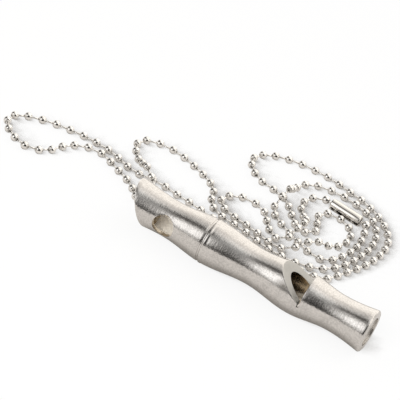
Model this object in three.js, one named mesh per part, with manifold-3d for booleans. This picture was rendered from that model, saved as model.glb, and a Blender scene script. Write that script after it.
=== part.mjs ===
// Turned steel dog whistle lying in front of its bead chain.
// Millimetres. X runs along the whistle to the mouthpiece, Y to the back, Z up from the table.

import * as THREE from 'three';
import { mergeVertices } from 'three/addons/utils/BufferGeometryUtils.js';
import ManifoldModule from 'manifold-3d';

const wasm = await ManifoldModule();
wasm.setup();

// Whistle, overall
const LENGTH = 67.6;
const BULGE_R = 6.0;
const SIDES = 40;
const AXIS_Z = BULGE_R * Math.cos(Math.PI / SIDES);

// Whistle, outline stations along the length
const END_R = 0.965 * BULGE_R;
const MOUTH_R = 0.963 * BULGE_R;
const WAIST_R = 0.8 * BULGE_R;
const FIRST_BULGE_R = 0.982 * BULGE_R;
const FIRST_WAIST_X = -0.337 * LENGTH;
const FIRST_BULGE_X = -0.164 * LENGTH;
const MIDDLE_WAIST_X = 0.019 * LENGTH;
const SECOND_BULGE_X = 0.197 * LENGTH;
const LAST_WAIST_X = 0.362 * LENGTH;
const MOUTH_ROUND = 0.6;

// Node ring: a ridge as high as the bulges, with a groove beside it
const RING_X = FIRST_BULGE_X - 0.3;
const RING_W = 0.8;
const GROOVE_W = 0.6;
const GROOVE_DEPTH = 0.25;

// Bores: the sounding bore from the mouth, the open end cavity, the wall between them
const BORE_R = 3.8;
const CAVITY_R = BULGE_R - 2.2;
const SEPTUM_X = FIRST_BULGE_X - 1.2;
const SEPTUM_T = 3.5;

// Features turned about the axis: degrees from the front, through the top, to the back
const WINDOW_TURN = 90;
const HOLE_TURN = -2;
const SLANT_TURN = -86;

// Window: a ramp that meets the axis at the straight wall, with a narrow saw kerf at its foot
const WALL_X = 0.241 * LENGTH;
const RAMP_ANGLE = 33;
const KERF_W = 0.5;
const KERF_DEPTH = 0.5;

// Lanyard end: slanted cut and cross hole
const SLANT_ANGLE = 28;
const HOLE_R = 2.9;
const HOLE_X = -0.339 * LENGTH;

// Windway plug pressed into the mouth
const PLUG_CLEARANCE = 0.03;
const WINDWAY_H = 1.2;

// Bead chain
const BEAD_R = 1.1;
const BEAD_WALL = 0.22;
const BEAD_HOLE_R = 0.45;
const BEAD_PITCH = 3.8;
const PIN_R = 0.25;
const PIN_HEAD_R = 0.5;
const PIN_HEAD_T = 0.22;
const PIN_HEAD_REACH = 0.5;
const CHAIN_SIDES = 8;
const CHAIN_GAP = 0.3;
const LAYER = 2 * BEAD_R + 0.35;

// Clasp: a slotted sleeve that holds the last bead of each end
const SLEEVE_R = 1.5;
const SLEEVE_WALL = 0.3;
const SLEEVE_L = 9.2;
const SLEEVE_LIP_R = 0.7;
const SLOT_W = 0.9;
const SLOT_TURN = -20;
const CLASP_YAW = -6.5;
const END_BEAD_T = SLEEVE_L / 2 - SLEEVE_WALL - BEAD_R - 0.6;
const OUTER_BEAD_T = END_BEAD_T + BEAD_PITCH;

// Where the clasp and the chain lie, drawn for this length and bulge and stretched with them.
// Each route point is x, y and its lift in chain layers.
const DRAWN_LENGTH = 67.6;
const DRAWN_BULGE_R = 6.0;
const LAY_X = LENGTH / DRAWN_LENGTH;
const LAY_Y = BULGE_R / DRAWN_BULGE_R;
const CLASP_X = 6.3 * LAY_X;
const CLASP_Y = 50.75 * LAY_Y;
const STRETCHES = [
  { name: 'chain_from_clasp', step: 3.6, points: [
    [-2.2, 50.6, 0.12], [-3.5, 48.5, 0], [-4.0, 45.8, 0], [-3.6, 43.0, 0], [-2.2, 40.5, 0],
    [-0.7, 38.2, 0.15], [0.4, 36.2, 0.55], [1.0, 34.2, 0.98], [1.2, 32.4, 1.05], [1.1, 30.4, 1.03],
    [1.0, 28.4, 1.05], [0.9, 26.5, 0.8],
  ] },
  { name: 'chain_back_loop', step: 4.2, points: [
    [0.4, 24.7, 0.42], [-0.9, 23.4, 0.16], [-2.7, 23.4, 0.06], [-4.6, 25.0, 0.04], [-6.3, 27.2, 0.01],
    [-7.9, 29.6, 0.01], [-9.6, 31.9, 0.01], [-12.0, 33.2, 0], [-14.8, 33.4, 0], [-17.5, 32.3, 0],
    [-19.4, 30.1, 0], [-20.1, 27.4, 0], [-19.0, 25.0, 0], [-16.9, 23.5, 0], [-14.2, 22.7, 0],
    [-11.0, 22.3, 0.01], [-7.8, 21.7, 0.01], [-4.6, 20.7, 0.02],
  ] },
  { name: 'chain_inner_turn', step: 3.8, points: [
    [-1.6, 20.0, 0.04], [1.3, 20.3, 0.15], [3.6, 21.9, 0.55], [5.2, 24.3, 1.0], [6.5, 27.0, 1.05],
    [8.1, 29.5, 0.7], [9.9, 31.9, 0.25], [11.2, 34.6, 0.03], [12.0, 37.6, 0], [12.0, 40.7, 0],
    [11.0, 43.6, 0], [8.9, 46.0, 0], [6.0, 47.2, 0], [3.2, 46.7, 0], [1.6, 44.6, 0], [1.8, 41.9, 0],
    [2.9, 39.2, 0], [3.9, 36.7, 0], [3.8, 34.5, 0], [2.4, 33.1, 0],
  ] },
  { name: 'chain_outer_turn', step: 5.6, points: [
    [0.5, 32.9, 0], [-1.4, 34.1, 0], [-3.2, 36.3, 0], [-5.2, 39.0, 0], [-7.6, 41.7, 0],
    [-10.4, 43.4, 0], [-13.6, 43.9, 0], [-16.9, 44.7, 0], [-19.9, 46.9, 0], [-22.0, 49.8, 0],
    [-22.8, 53.1, 0], [-21.9, 56.3, 0], [-19.6, 58.8, 0], [-16.4, 60.7, 0], [-12.7, 62.0, 0],
    [-8.7, 62.6, 0], [-4.8, 62.8, 0], [-1.0, 62.4, 0], [2.6, 61.6, 0], [6.8, 60.8, 0], [10.8, 59.0, 0],
    [14.3, 56.7, 0], [17.2, 53.7, 0], [19.4, 50.3, 0], [20.6, 46.6, 0], [20.9, 42.6, 0],
    [20.8, 38.6, 0], [20.3, 34.8, 0], [19.4, 31.1, 0], [18.2, 27.6, 0], [17.1, 24.2, 0],
    [16.0, 20.8, 0],
  ] },
  { name: 'chain_back_run', step: 6.0, points: [
    [14.6, 18.0, 0], [11.8, 16.7, 0], [8.6, 16.1, 0], [5.4, 15.6, 0], [2.2, 15.0, 0], [-1.0, 14.7, 0],
    [-4.2, 14.9, 0], [-7.4, 15.6, 0], [-10.6, 16.3, 0], [-13.9, 16.8, 0], [-17.3, 17.1, 0],
    [-20.8, 17.6, 0], [-24.5, 18.2, 0], [-28.5, 18.5, 0], [-32.6, 19.1, 0],
  ] },
  { name: 'chain_left_loop', step: 5.4, points: [
    [-36.4, 19.2, 0], [-39.8, 18.3, 0], [-43.2, 18.4, 0], [-46.8, 19.7, 0], [-50.6, 21.0, 0],
    [-54.7, 21.3, 0], [-58.8, 21.1, 0], [-62.7, 20.4, 0], [-66.6, 19.4, 0], [-70.3, 17.8, 0],
    [-73.8, 15.7, 0], [-75.9, 13.0, 0], [-75.8, 10.0, 0], [-73.9, 7.1, 0], [-70.9, 4.8, 0],
    [-67.5, 3.6, 0], [-64.3, 4.3, 0], [-61.8, 6.8, 0], [-60.5, 10.1, 0], [-59.4, 13.4, 0],
    [-57.2, 16.1, 0], [-54.3, 17.8, 0], [-51.2, 17.9, 0], [-48.1, 16.6, 0], [-44.8, 14.9, 0],
  ] },
  { name: 'chain_threaded', step: 2.8, points: [
    [-41.3, 13.1, 0.01], [-38.4, 10.8, 0.03], [-36.1, 8.0, 0.16], [-34.2, 5.1, 0.59], [-32.2, 2.8, 1.11],
    [-29.8, 1.6, 1.46], [-27.4, 1.5, 1.64], [-25.1, 2.0, 1.68], [-23.5, 3.4, 1.66], [-23.1, 5.3, 1.58],
    [-23.5, 7.2, 1.22], [-24.6, 8.9, 0.59], [-26.4, 10.4, 0.14], [-28.9, 11.9, 0.04], [-31.0, 13.2, 0.06],
    [-33.2, 14.3, 0.25], [-35.4, 15.6, 0.7], [-37.4, 17.1, 1.04], [-39.1, 18.7, 1.1], [-40.6, 20.4, 0.8],
  ] },
  { name: 'chain_middle_loop', step: 5.0, points: [
    [-42.0, 22.1, 0.35], [-43.6, 24.0, 0.05], [-45.4, 26.2, 0], [-46.9, 28.7, 0],
    [-47.6, 31.6, 0], [-46.6, 34.2, 0], [-43.9, 35.9, 0], [-40.4, 36.5, 0], [-36.6, 36.1, 0],
    [-32.8, 34.9, 0], [-29.2, 33.4, 0], [-25.9, 31.6, 0], [-23.4, 29.0, 0], [-22.3, 25.8, 0],
    [-21.0, 23.0, 0], [-18.8, 20.9, 0],
  ] },
  { name: 'chain_bundle_run', step: 6.0, points: [
    [-16.0, 19.9, 0], [-13.0, 19.6, 0], [-9.9, 19.2, 0], [-6.8, 18.5, 0], [-3.7, 17.7, 0],
    [-0.5, 17.4, 0], [2.6, 17.6, 0], [5.6, 18.0, 0], [8.4, 18.9, 0], [11.0, 20.5, 0], [13.2, 22.7, 0],
  ] },
  { name: 'chain_third_turn', step: 5.4, points: [
    [14.9, 25.6, 0], [16.2, 29.2, 0], [17.0, 33.0, 0], [17.6, 37.0, 0], [17.8, 40.9, 0],
    [17.5, 44.3, 0], [16.8, 47.7, 0], [15.1, 51.5, 0], [12.4, 54.7, 0], [8.8, 56.8, 0], [5.2, 57.7, 0],
    [1.6, 57.8, 0], [-2.2, 57.2, 0], [-5.7, 55.6, 0], [-7.8, 52.8, 0], [-8.3, 49.5, 0.1], [-8.3, 46.7, 0.5],
    [-8.2, 44.3, 1.06], [-8.2, 42.3, 1.18], [-8.4, 40.4, 1.0], [-8.7, 38.0, 0.3], [-8.5, 35.6, 0.03],
  ] },
  { name: 'chain_to_clasp', step: 4.2, points: [
    [-7.2, 33.4, 0], [-5.0, 31.5, 0], [-2.4, 29.9, 0], [0.6, 28.3, 0], [3.9, 26.5, 0], [7.2, 25.3, 0],
    [10.3, 25.4, 0], [12.6, 27.6, 0], [13.9, 31.2, 0], [14.7, 35.2, 0], [14.9, 39.4, 0],
    [14.5, 43.4, 0], [13.7, 46.8, 0.08],
  ] },
];

// Finishes
const SATIN_STEEL = new THREE.MeshStandardMaterial({ color: 0xc9c6c0, metalness: 1, roughness: 0.32 });
const PLUG_STEEL = new THREE.MeshStandardMaterial({ color: 0xb3ada3, metalness: 1, roughness: 0.45 });
const BRIGHT_NICKEL = new THREE.MeshStandardMaterial({ color: 0xd4d4d2, metalness: 1, roughness: 0.15 });

const part = new THREE.Group();

function radians(degrees) {
  return degrees * Math.PI / 180;
}

// Geometry with positions only, joined at shared corners, without empty triangles, facing outwards
function tidy(geometry) {
  const bare = new THREE.BufferGeometry();
  bare.setAttribute('position', geometry.getAttribute('position').clone());
  if (geometry.index) {
    bare.setIndex(geometry.index.clone());
  }
  const merged = mergeVertices(bare, 1e-5);
  const position = merged.getAttribute('position');
  const index = merged.index.array;
  const corner = [0, 1, 2].map(() => new THREE.Vector3());
  const kept = [];
  let volume = 0;
  for (let i = 0; i < index.length; i += 3) {
    const [a, b, c] = [index[i], index[i + 1], index[i + 2]];
    if (a === b || b === c || c === a) {
      continue;
    }
    [a, b, c].forEach((vertex, k) => corner[k].fromBufferAttribute(position, vertex));
    volume += corner[0].dot(corner[1].clone().cross(corner[2]));
    kept.push(a, b, c);
  }
  if (volume < 0) {
    kept.reverse();
  }
  merged.setIndex(kept);
  return merged;
}

function toManifold(geometry) {
  const clean = tidy(geometry);
  return new wasm.Manifold(new wasm.Mesh({
    numProp: 3,
    vertProperties: new Float32Array(clean.getAttribute('position').array),
    triVerts: new Uint32Array(clean.index.array),
  }));
}

function toGeometry(manifold) {
  const mesh = manifold.getMesh();
  const geometry = new THREE.BufferGeometry();
  geometry.setAttribute('position', new THREE.BufferAttribute(new Float32Array(mesh.vertProperties), 3));
  geometry.setIndex(Array.from(mesh.triVerts));
  return geometry;
}

function cut(geometry, ...cutters) {
  let body = toManifold(geometry);
  for (const cutter of cutters) {
    body = body.subtract(toManifold(cutter));
  }
  return toGeometry(body);
}

function addPart(name, geometry, material) {
  const mesh = new THREE.Mesh(tidy(geometry), material);
  mesh.geometry.computeVertexNormals();
  mesh.name = name;
  part.add(mesh);
  return mesh;
}

// Solid of revolution about X; each point is [x, radius], flats face up, down, front and back
function turned(points, sides) {
  const outline = points.map(([x, radius]) => new THREE.Vector2(radius, x));
  const geometry = new THREE.LatheGeometry(outline, sides, Math.PI / sides);
  return geometry.rotateZ(-Math.PI / 2);
}

// Turn about X that brings +Y to the given angle from the front
function aim(geometry, degrees) {
  return geometry.rotateX(Math.PI - radians(degrees));
}

// Outline of the whistle: soft waves between the stations, opening out at both ends
const STATIONS = [
  [-LENGTH / 2, END_R], [FIRST_WAIST_X, WAIST_R], [FIRST_BULGE_X, FIRST_BULGE_R], [MIDDLE_WAIST_X, WAIST_R],
  [SECOND_BULGE_X, BULGE_R], [LAST_WAIST_X, WAIST_R], [LENGTH / 2, MOUTH_R],
];

function bodyRadius(x) {
  const last = STATIONS.length - 2;
  let span = STATIONS.findIndex((station) => station[0] > x) - 1;
  span = Math.min(Math.max(span < -1 ? last : span, 0), last);
  const [x0, r0] = STATIONS[span];
  const [x1, r1] = STATIONS[span + 1];
  const t = (x - x0) / (x1 - x0);
  if (span === 0) {
    return r1 + (r0 - r1) * (1 - Math.cos((1 - t) * Math.PI / 2));
  }
  if (span === last) {
    return r0 + (r1 - r0) * (1 - Math.cos(t * Math.PI / 2));
  }
  return r0 + (r1 - r0) * (1 - Math.cos(t * Math.PI)) / 2;
}

function bodyOutline() {
  const start = -LENGTH / 2 - 1;
  const end = LENGTH / 2;
  const points = [[start, 0], [start, END_R]];
  const ringStart = RING_X - RING_W / 2 - GROOVE_W;
  const ringEnd = RING_X + RING_W / 2;
  const steps = 44;
  for (let i = 0; i <= steps; i += 1) {
    const x = -LENGTH / 2 + (LENGTH - MOUTH_ROUND) * i / steps;
    if (x < ringStart - 0.3 || x > ringEnd + 0.3) {
      points.push([x, bodyRadius(x)]);
    }
  }
  const grooveR = bodyRadius(ringStart) - GROOVE_DEPTH;
  const ring = [
    [ringStart, bodyRadius(ringStart)], [ringStart + 0.1, grooveR], [ringStart + GROOVE_W - 0.1, grooveR],
    [ringStart + GROOVE_W, BULGE_R - 0.06], [RING_X - RING_W / 4, BULGE_R],
    [RING_X + RING_W / 4, BULGE_R], [ringEnd, bodyRadius(ringEnd)],
  ];
  const place = points.findIndex(([x]) => x > ringEnd);
  points.splice(place, 0, ...ring);
  for (const degrees of [30, 60, 90]) {
    const a = radians(degrees);
    const x = end - MOUTH_ROUND * (1 - Math.sin(a));
    points.push([x, MOUTH_R - MOUTH_ROUND * (1 - Math.cos(a))]);
  }
  points.push([end, 0]);
  return points;
}

// Cutters for the body
function rod(x0, x1, radius) {
  return turned([[x0, 0], [x0, radius], [x1, radius], [x1, 0]], SIDES);
}

function slab(outline, turn) {
  const shape = new THREE.Shape(outline.map(([x, y]) => new THREE.Vector2(x, y)));
  const width = 4 * BULGE_R;
  const geometry = new THREE.ExtrudeGeometry(shape, { depth: width, bevelEnabled: false });
  return aim(geometry.translate(0, 0, -width / 2), turn);
}

function makeBody() {
  const rampTop = BULGE_R + 1;
  const rampRun = rampTop / Math.tan(radians(RAMP_ANGLE));
  const window = slab([[WALL_X, 0], [WALL_X, rampTop], [WALL_X - rampRun, rampTop]], WINDOW_TURN);
  const kerf = slab([
    [WALL_X - KERF_W, -KERF_DEPTH], [WALL_X, -KERF_DEPTH], [WALL_X, rampTop], [WALL_X - KERF_W, rampTop],
  ], WINDOW_TURN);
  const slope = Math.tan(radians(SLANT_ANGLE));
  const tipX = -LENGTH / 2 + slope * END_R;
  const far = 2 * BULGE_R;
  const slant = slab([
    [tipX - far, -far], [tipX - slope * far, -far], [tipX + slope * far, far], [tipX - far, far],
  ], SLANT_TURN);
  const hole = new THREE.CylinderGeometry(HOLE_R, HOLE_R, 4 * BULGE_R, SIDES);
  aim(hole, HOLE_TURN).translate(HOLE_X, 0, 0);
  return cut(
    turned(bodyOutline(), SIDES),
    rod(SEPTUM_X + SEPTUM_T / 2, LENGTH, BORE_R),
    rod(-LENGTH, SEPTUM_X - SEPTUM_T / 2, CAVITY_R),
    window, kerf, slant, hole,
  );
}

function makePlug() {
  const radius = BORE_R - PLUG_CLEARANCE;
  const floor = BORE_R - WINDWAY_H;
  const windway = slab([
    [0, floor], [LENGTH, floor], [LENGTH, 2 * BORE_R], [0, 2 * BORE_R],
  ], WINDOW_TURN);
  return cut(rod(WALL_X, LENGTH / 2, radius), windway);
}

addPart('whistle_body', makeBody().translate(0, 0, AXIS_Z), SATIN_STEEL);
addPart('windway_plug', makePlug().translate(0, 0, AXIS_Z), PLUG_STEEL);

// Clasp pieces are made about X and set on the clasp's own line
function onClasp(geometry) {
  return geometry.rotateZ(radians(CLASP_YAW)).translate(CLASP_X, CLASP_Y, SLEEVE_R);
}

function claspPoint(t) {
  const yaw = radians(CLASP_YAW);
  return new THREE.Vector3(CLASP_X + t * Math.cos(yaw), CLASP_Y + t * Math.sin(yaw), SLEEVE_R);
}

function makeSleeve() {
  const half = SLEEVE_L / 2;
  const inner = SLEEVE_R - SLEEVE_WALL;
  const edge = 0.35;
  const outline = [
    [-half, SLEEVE_LIP_R], [-half, SLEEVE_R - edge], [-half + edge, SLEEVE_R],
    [half - edge, SLEEVE_R], [half, SLEEVE_R - edge], [half, SLEEVE_LIP_R],
    [half - SLEEVE_WALL, SLEEVE_LIP_R], [half - SLEEVE_WALL, inner],
    [-half + SLEEVE_WALL, inner], [-half + SLEEVE_WALL, SLEEVE_LIP_R], [-half, SLEEVE_LIP_R],
  ];
  const slot = new THREE.BoxGeometry(SLEEVE_L + 2, SLEEVE_R + 1, SLOT_W).translate(0, SLEEVE_R / 2 + 0.5, 0);
  return cut(turned(outline, 24), aim(slot, SLOT_TURN));
}

function makeBead() {
  const inner = BEAD_R - BEAD_WALL;
  const outerStart = Math.acos(BEAD_HOLE_R / BEAD_R);
  const innerStart = Math.acos(BEAD_HOLE_R / inner);
  const outline = [];
  const arc = (radius, from, to, steps) => {
    for (let i = 0; i <= steps; i += 1) {
      const a = from + (to - from) * i / steps;
      outline.push([radius * Math.sin(a), radius * Math.cos(a)]);
    }
  };
  arc(BEAD_R, -outerStart, outerStart, 8);
  arc(inner, innerStart, -innerStart, 6);
  outline.push(outline[0]);
  return turned(outline, 12);
}

// Dumbbell pin between two beads on the clasp's line; its heads sit inside the beads
function makePin() {
  const head = BEAD_PITCH / 2 - PIN_HEAD_REACH;
  return turned([
    [-head - PIN_HEAD_T, 0], [-head - PIN_HEAD_T, PIN_HEAD_R * 0.7], [-head - PIN_HEAD_T / 2, PIN_HEAD_R],
    [-head, PIN_R], [head, PIN_R],
    [head + PIN_HEAD_T / 2, PIN_HEAD_R], [head + PIN_HEAD_T, PIN_HEAD_R * 0.7], [head + PIN_HEAD_T, 0],
  ], 8);
}

addPart('clasp_sleeve', onClasp(makeSleeve()), BRIGHT_NICKEL);
for (const [side, sign] of [['left', -1], ['right', 1]]) {
  const between = (END_BEAD_T + OUTER_BEAD_T) / 2;
  addPart(`end_bead_${side}`, onClasp(makeBead().translate(sign * END_BEAD_T, 0, 0)), BRIGHT_NICKEL);
  addPart(`end_pin_${side}`, onClasp(makePin().translate(sign * between, 0, 0)), BRIGHT_NICKEL);
  addPart(`neck_bead_${side}`, onClasp(makeBead().translate(sign * OUTER_BEAD_T, 0, 0)), BRIGHT_NICKEL);
}

// One smooth line through the whole chain, from the left neck bead round to the right one
function chainPoint([x, y, lift]) {
  return new THREE.Vector3(x * LAY_X, y * LAY_Y, BEAD_R + lift * LAYER * Math.max(1, LAY_Y));
}

const routePoints = [claspPoint(-OUTER_BEAD_T)];
for (const stretch of STRETCHES) {
  routePoints.push(...stretch.points.map(chainPoint));
}
routePoints.push(claspPoint(OUTER_BEAD_T));

const route = new THREE.CatmullRomCurve3(routePoints, false, 'centripetal');
const SAMPLES = 24;
route.arcLengthDivisions = (routePoints.length - 1) * SAMPLES;
const routeLengths = route.getLengths();
const routeTotal = routeLengths[routeLengths.length - 1];

class ChainSlice extends THREE.Curve {
  constructor(from, to) {
    super();
    this.from = from;
    this.to = to;
  }

  getPoint(t, target = new THREE.Vector3()) {
    const along = this.from + (this.to - this.from) * t;
    return route.getPointAt(along / routeTotal, target);
  }
}

function makeStretch(from, to, step) {
  const section = new THREE.Shape();
  for (let i = 0; i < CHAIN_SIDES; i += 1) {
    const a = 2 * Math.PI * (i + 0.5) / CHAIN_SIDES;
    const x = BEAD_R * Math.cos(a);
    const y = BEAD_R * Math.sin(a);
    if (i === 0) {
      section.moveTo(x, y);
    } else {
      section.lineTo(x, y);
    }
  }
  section.closePath();
  const steps = Math.max(3, Math.round((to - from) / step));
  const extrudePath = new ChainSlice(from, to);
  return new THREE.ExtrudeGeometry(section, { steps, extrudePath, bevelEnabled: false });
}

let firstPoint = 0;
STRETCHES.forEach((stretch, k) => {
  const isFirst = k === 0;
  const isLast = k === STRETCHES.length - 1;
  const lastPoint = isLast ? routePoints.length - 1 : firstPoint + stretch.points.length + (isFirst ? 1 : 0);
  const trimStart = isFirst ? BEAD_R + CHAIN_GAP : CHAIN_GAP / 2;
  const trimEnd = isLast ? BEAD_R + CHAIN_GAP : CHAIN_GAP / 2;
  const from = routeLengths[firstPoint * SAMPLES] + trimStart;
  const to = routeLengths[lastPoint * SAMPLES] - trimEnd;
  addPart(stretch.name, makeStretch(from, to, stretch.step), BRIGHT_NICKEL);
  firstPoint = lastPoint;
});

export default part;
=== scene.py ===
"""Turned steel dog whistle lying in front of its bead chain, dressed for a plain studio.

Sizes are in millimetres in the classes and are brought to metres where a mesh is made. X runs along
the whistle to the mouthpiece, Y to the back and Z up. Turns about the whistle's or the clasp's line
are in degrees, from the front through the top.
"""

import logging
import math
from bisect import bisect_left
from dataclasses import dataclass, field
from enum import Enum, IntEnum
from typing import Callable, Sequence

import bmesh
import bpy
from mathutils import Matrix, Vector


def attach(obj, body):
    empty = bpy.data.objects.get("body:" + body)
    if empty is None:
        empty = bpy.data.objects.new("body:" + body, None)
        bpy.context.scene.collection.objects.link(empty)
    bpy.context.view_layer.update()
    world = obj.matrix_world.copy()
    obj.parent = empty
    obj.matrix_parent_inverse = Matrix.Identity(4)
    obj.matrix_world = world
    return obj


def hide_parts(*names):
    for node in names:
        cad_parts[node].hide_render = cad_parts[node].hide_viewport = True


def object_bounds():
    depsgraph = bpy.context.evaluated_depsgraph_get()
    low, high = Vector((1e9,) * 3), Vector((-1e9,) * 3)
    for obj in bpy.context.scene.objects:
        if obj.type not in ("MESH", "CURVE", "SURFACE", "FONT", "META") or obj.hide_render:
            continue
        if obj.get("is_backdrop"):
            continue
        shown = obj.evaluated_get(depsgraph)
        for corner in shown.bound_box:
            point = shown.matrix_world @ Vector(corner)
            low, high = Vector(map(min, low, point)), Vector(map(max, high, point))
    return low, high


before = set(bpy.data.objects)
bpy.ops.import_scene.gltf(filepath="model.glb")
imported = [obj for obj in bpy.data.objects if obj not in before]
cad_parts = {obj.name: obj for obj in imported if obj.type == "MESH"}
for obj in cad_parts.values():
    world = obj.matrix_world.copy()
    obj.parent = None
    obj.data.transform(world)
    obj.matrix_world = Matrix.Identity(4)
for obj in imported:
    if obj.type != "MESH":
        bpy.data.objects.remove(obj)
CAD_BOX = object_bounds()

LOG = logging.getLogger("dog_whistle")
MM = 0.001  # metres in a millimetre
HAIR = 1e-6  # tolerance on turns, degrees

Point = tuple[float, float, float]
Colour = tuple[float, float, float]
Socket = bpy.types.NodeSocket


class Body(Enum):
    """Bodies of the frame that the pieces ride on."""

    WHISTLE = "whistle"
    CLASP = "clasp"
    LEFT_END_BEAD = "left_end_bead"
    RIGHT_END_BEAD = "right_end_bead"
    LEFT_NECK_BEAD = "left_neck_bead"
    RIGHT_NECK_BEAD = "right_neck_bead"


class Slot(Enum):
    """Material slot names."""

    SATIN = "satin_steel"
    PLUG = "plug_steel"
    NICKEL = "bright_nickel"


class Cut(IntEnum):
    """How a patch of the whistle's surface was machined; also its material index."""

    TURNED = 0
    BORED = 1
    MILLED = 2
    DRILLED = 3


# Node helpers


class Wiring:
    """Short forms for placing and joining nodes in one tree."""

    def __init__(self, tree: bpy.types.NodeTree) -> None:
        """Starts on a tree and clears it."""
        self.tree = tree
        tree.nodes.clear()

    def add(self, kind: str, **settings: object) -> bpy.types.Node:
        """Adds a node.

        Args:
            kind: The node's type name.
            settings: Values for the node's own properties.

        Returns:
            The new node.
        """
        node = self.tree.nodes.new(kind)
        for name, value in settings.items():
            setattr(node, name, value)
        return node

    def join(self, source: Socket, target: Socket) -> None:
        """Links an output to an input."""
        self.tree.links.new(source, target)

    def feed(self, socket: Socket, value: object) -> None:
        """Links a socket, or sets a plain value, on an input.

        Args:
            socket: The input.
            value: A socket to link, or the value to set.
        """
        if isinstance(value, Socket):
            self.join(value, socket)
        else:
            socket.default_value = value

    def maths(self, operation: str, *values: object) -> Socket:
        """Adds a Math node.

        Args:
            operation: The Math node's operation.
            values: Sockets or numbers for its inputs, in order.

        Returns:
            The node's output.
        """
        node = self.add("ShaderNodeMath", operation=operation)
        for socket, value in zip(node.inputs, values):
            self.feed(socket, value)
        return node.outputs[0]

    def span(self, value: Socket, start: float, end: float, low: float, high: float) -> Socket:
        """Adds a Map Range node.

        Args:
            value: The socket to map.
            start: Value that becomes low.
            end: Value that becomes high.
            low: Lowest result.
            high: Highest result.

        Returns:
            The mapped, clamped value.
        """
        node = self.add("ShaderNodeMapRange")
        for socket, given in zip(node.inputs, (value, start, end, low, high)):
            self.feed(socket, given)
        return node.outputs[0]

    def total(self, *values: Socket) -> Socket:
        """Adds up values.

        Args:
            values: Two or more sockets.

        Returns:
            Their sum.
        """
        result = values[0]
        for value in values[1:]:
            result = self.maths("ADD", result, value)
        return result

    def blend(self, factor: float | Socket, first: Colour | Socket, second: Colour | Socket,
              kind: str = "MIX") -> Socket:
        """Adds a colour Mix node.

        Args:
            factor: Factor between the colours.
            first: Colour at 0.
            second: Colour at 1.
            kind: The node's blend type.

        Returns:
            The mixed colour.
        """
        node = self.add("ShaderNodeMix", data_type="RGBA", blend_type=kind)
        self.feed(node.inputs["Factor"], factor)
        for place, colour in ((6, first), (7, second)):
            self.feed(node.inputs[place], colour if isinstance(colour, Socket) else (*colour, 1.0))
        return node.outputs[2]

    def either(self, factor: Socket, first: Socket, second: Socket) -> Socket:
        """Adds a Mix Shader node.

        Args:
            factor: Factor between the shaders.
            first: Shader at 0.
            second: Shader at 1.

        Returns:
            The mixed shader.
        """
        node = self.add("ShaderNodeMixShader")
        for socket, source in zip(node.inputs, (factor, first, second)):
            self.join(source, socket)
        return node.outputs[0]

    def bumped(self, height: Socket, depth: float) -> Socket:
        """Adds a Bump node at full strength.

        Args:
            height: The height value.
            depth: The depth of one unit of height, mm.

        Returns:
            The bumped normal.
        """
        node = self.add("ShaderNodeBump")
        node.inputs["Strength"].default_value = 1.0
        node.inputs["Distance"].default_value = depth * MM
        self.join(height, node.inputs["Height"])
        return node.outputs["Normal"]

    def show(self, surface: Socket, kind: str = "ShaderNodeOutputMaterial") -> None:
        """Adds the tree's output node and links the surface to it."""
        self.join(surface, self.add(kind).inputs["Surface"])


def new_material(name: str) -> tuple[bpy.types.Material, Wiring]:
    """Makes an empty material.

    Args:
        name: The material's name.

    Returns:
        The material and its wiring.
    """
    material = bpy.data.materials.new(name)
    material.use_nodes = True
    return material, Wiring(material.node_tree)


def new_group(name: str, inputs: Sequence[tuple[str, str, object]], outputs: Sequence[tuple[str, str]]
              ) -> tuple[bpy.types.NodeTree, Wiring, bpy.types.Node, bpy.types.Node]:
    """Makes an empty shader group with its interface.

    Args:
        name: The group's name.
        inputs: Name, socket type and default of each input.
        outputs: Name and socket type of each output.

    Returns:
        The tree, its wiring, its input node and its output node.
    """
    tree = bpy.data.node_groups.new(name, "ShaderNodeTree")
    for label, kind, default in inputs:
        socket = tree.interface.new_socket(label, in_out="INPUT", socket_type=kind)
        if default is not None:
            socket.default_value = default
    for label, kind in outputs:
        tree.interface.new_socket(label, in_out="OUTPUT", socket_type=kind)
    wiring = Wiring(tree)
    return tree, wiring, wiring.add("NodeGroupInput"), wiring.add("NodeGroupOutput")


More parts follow.
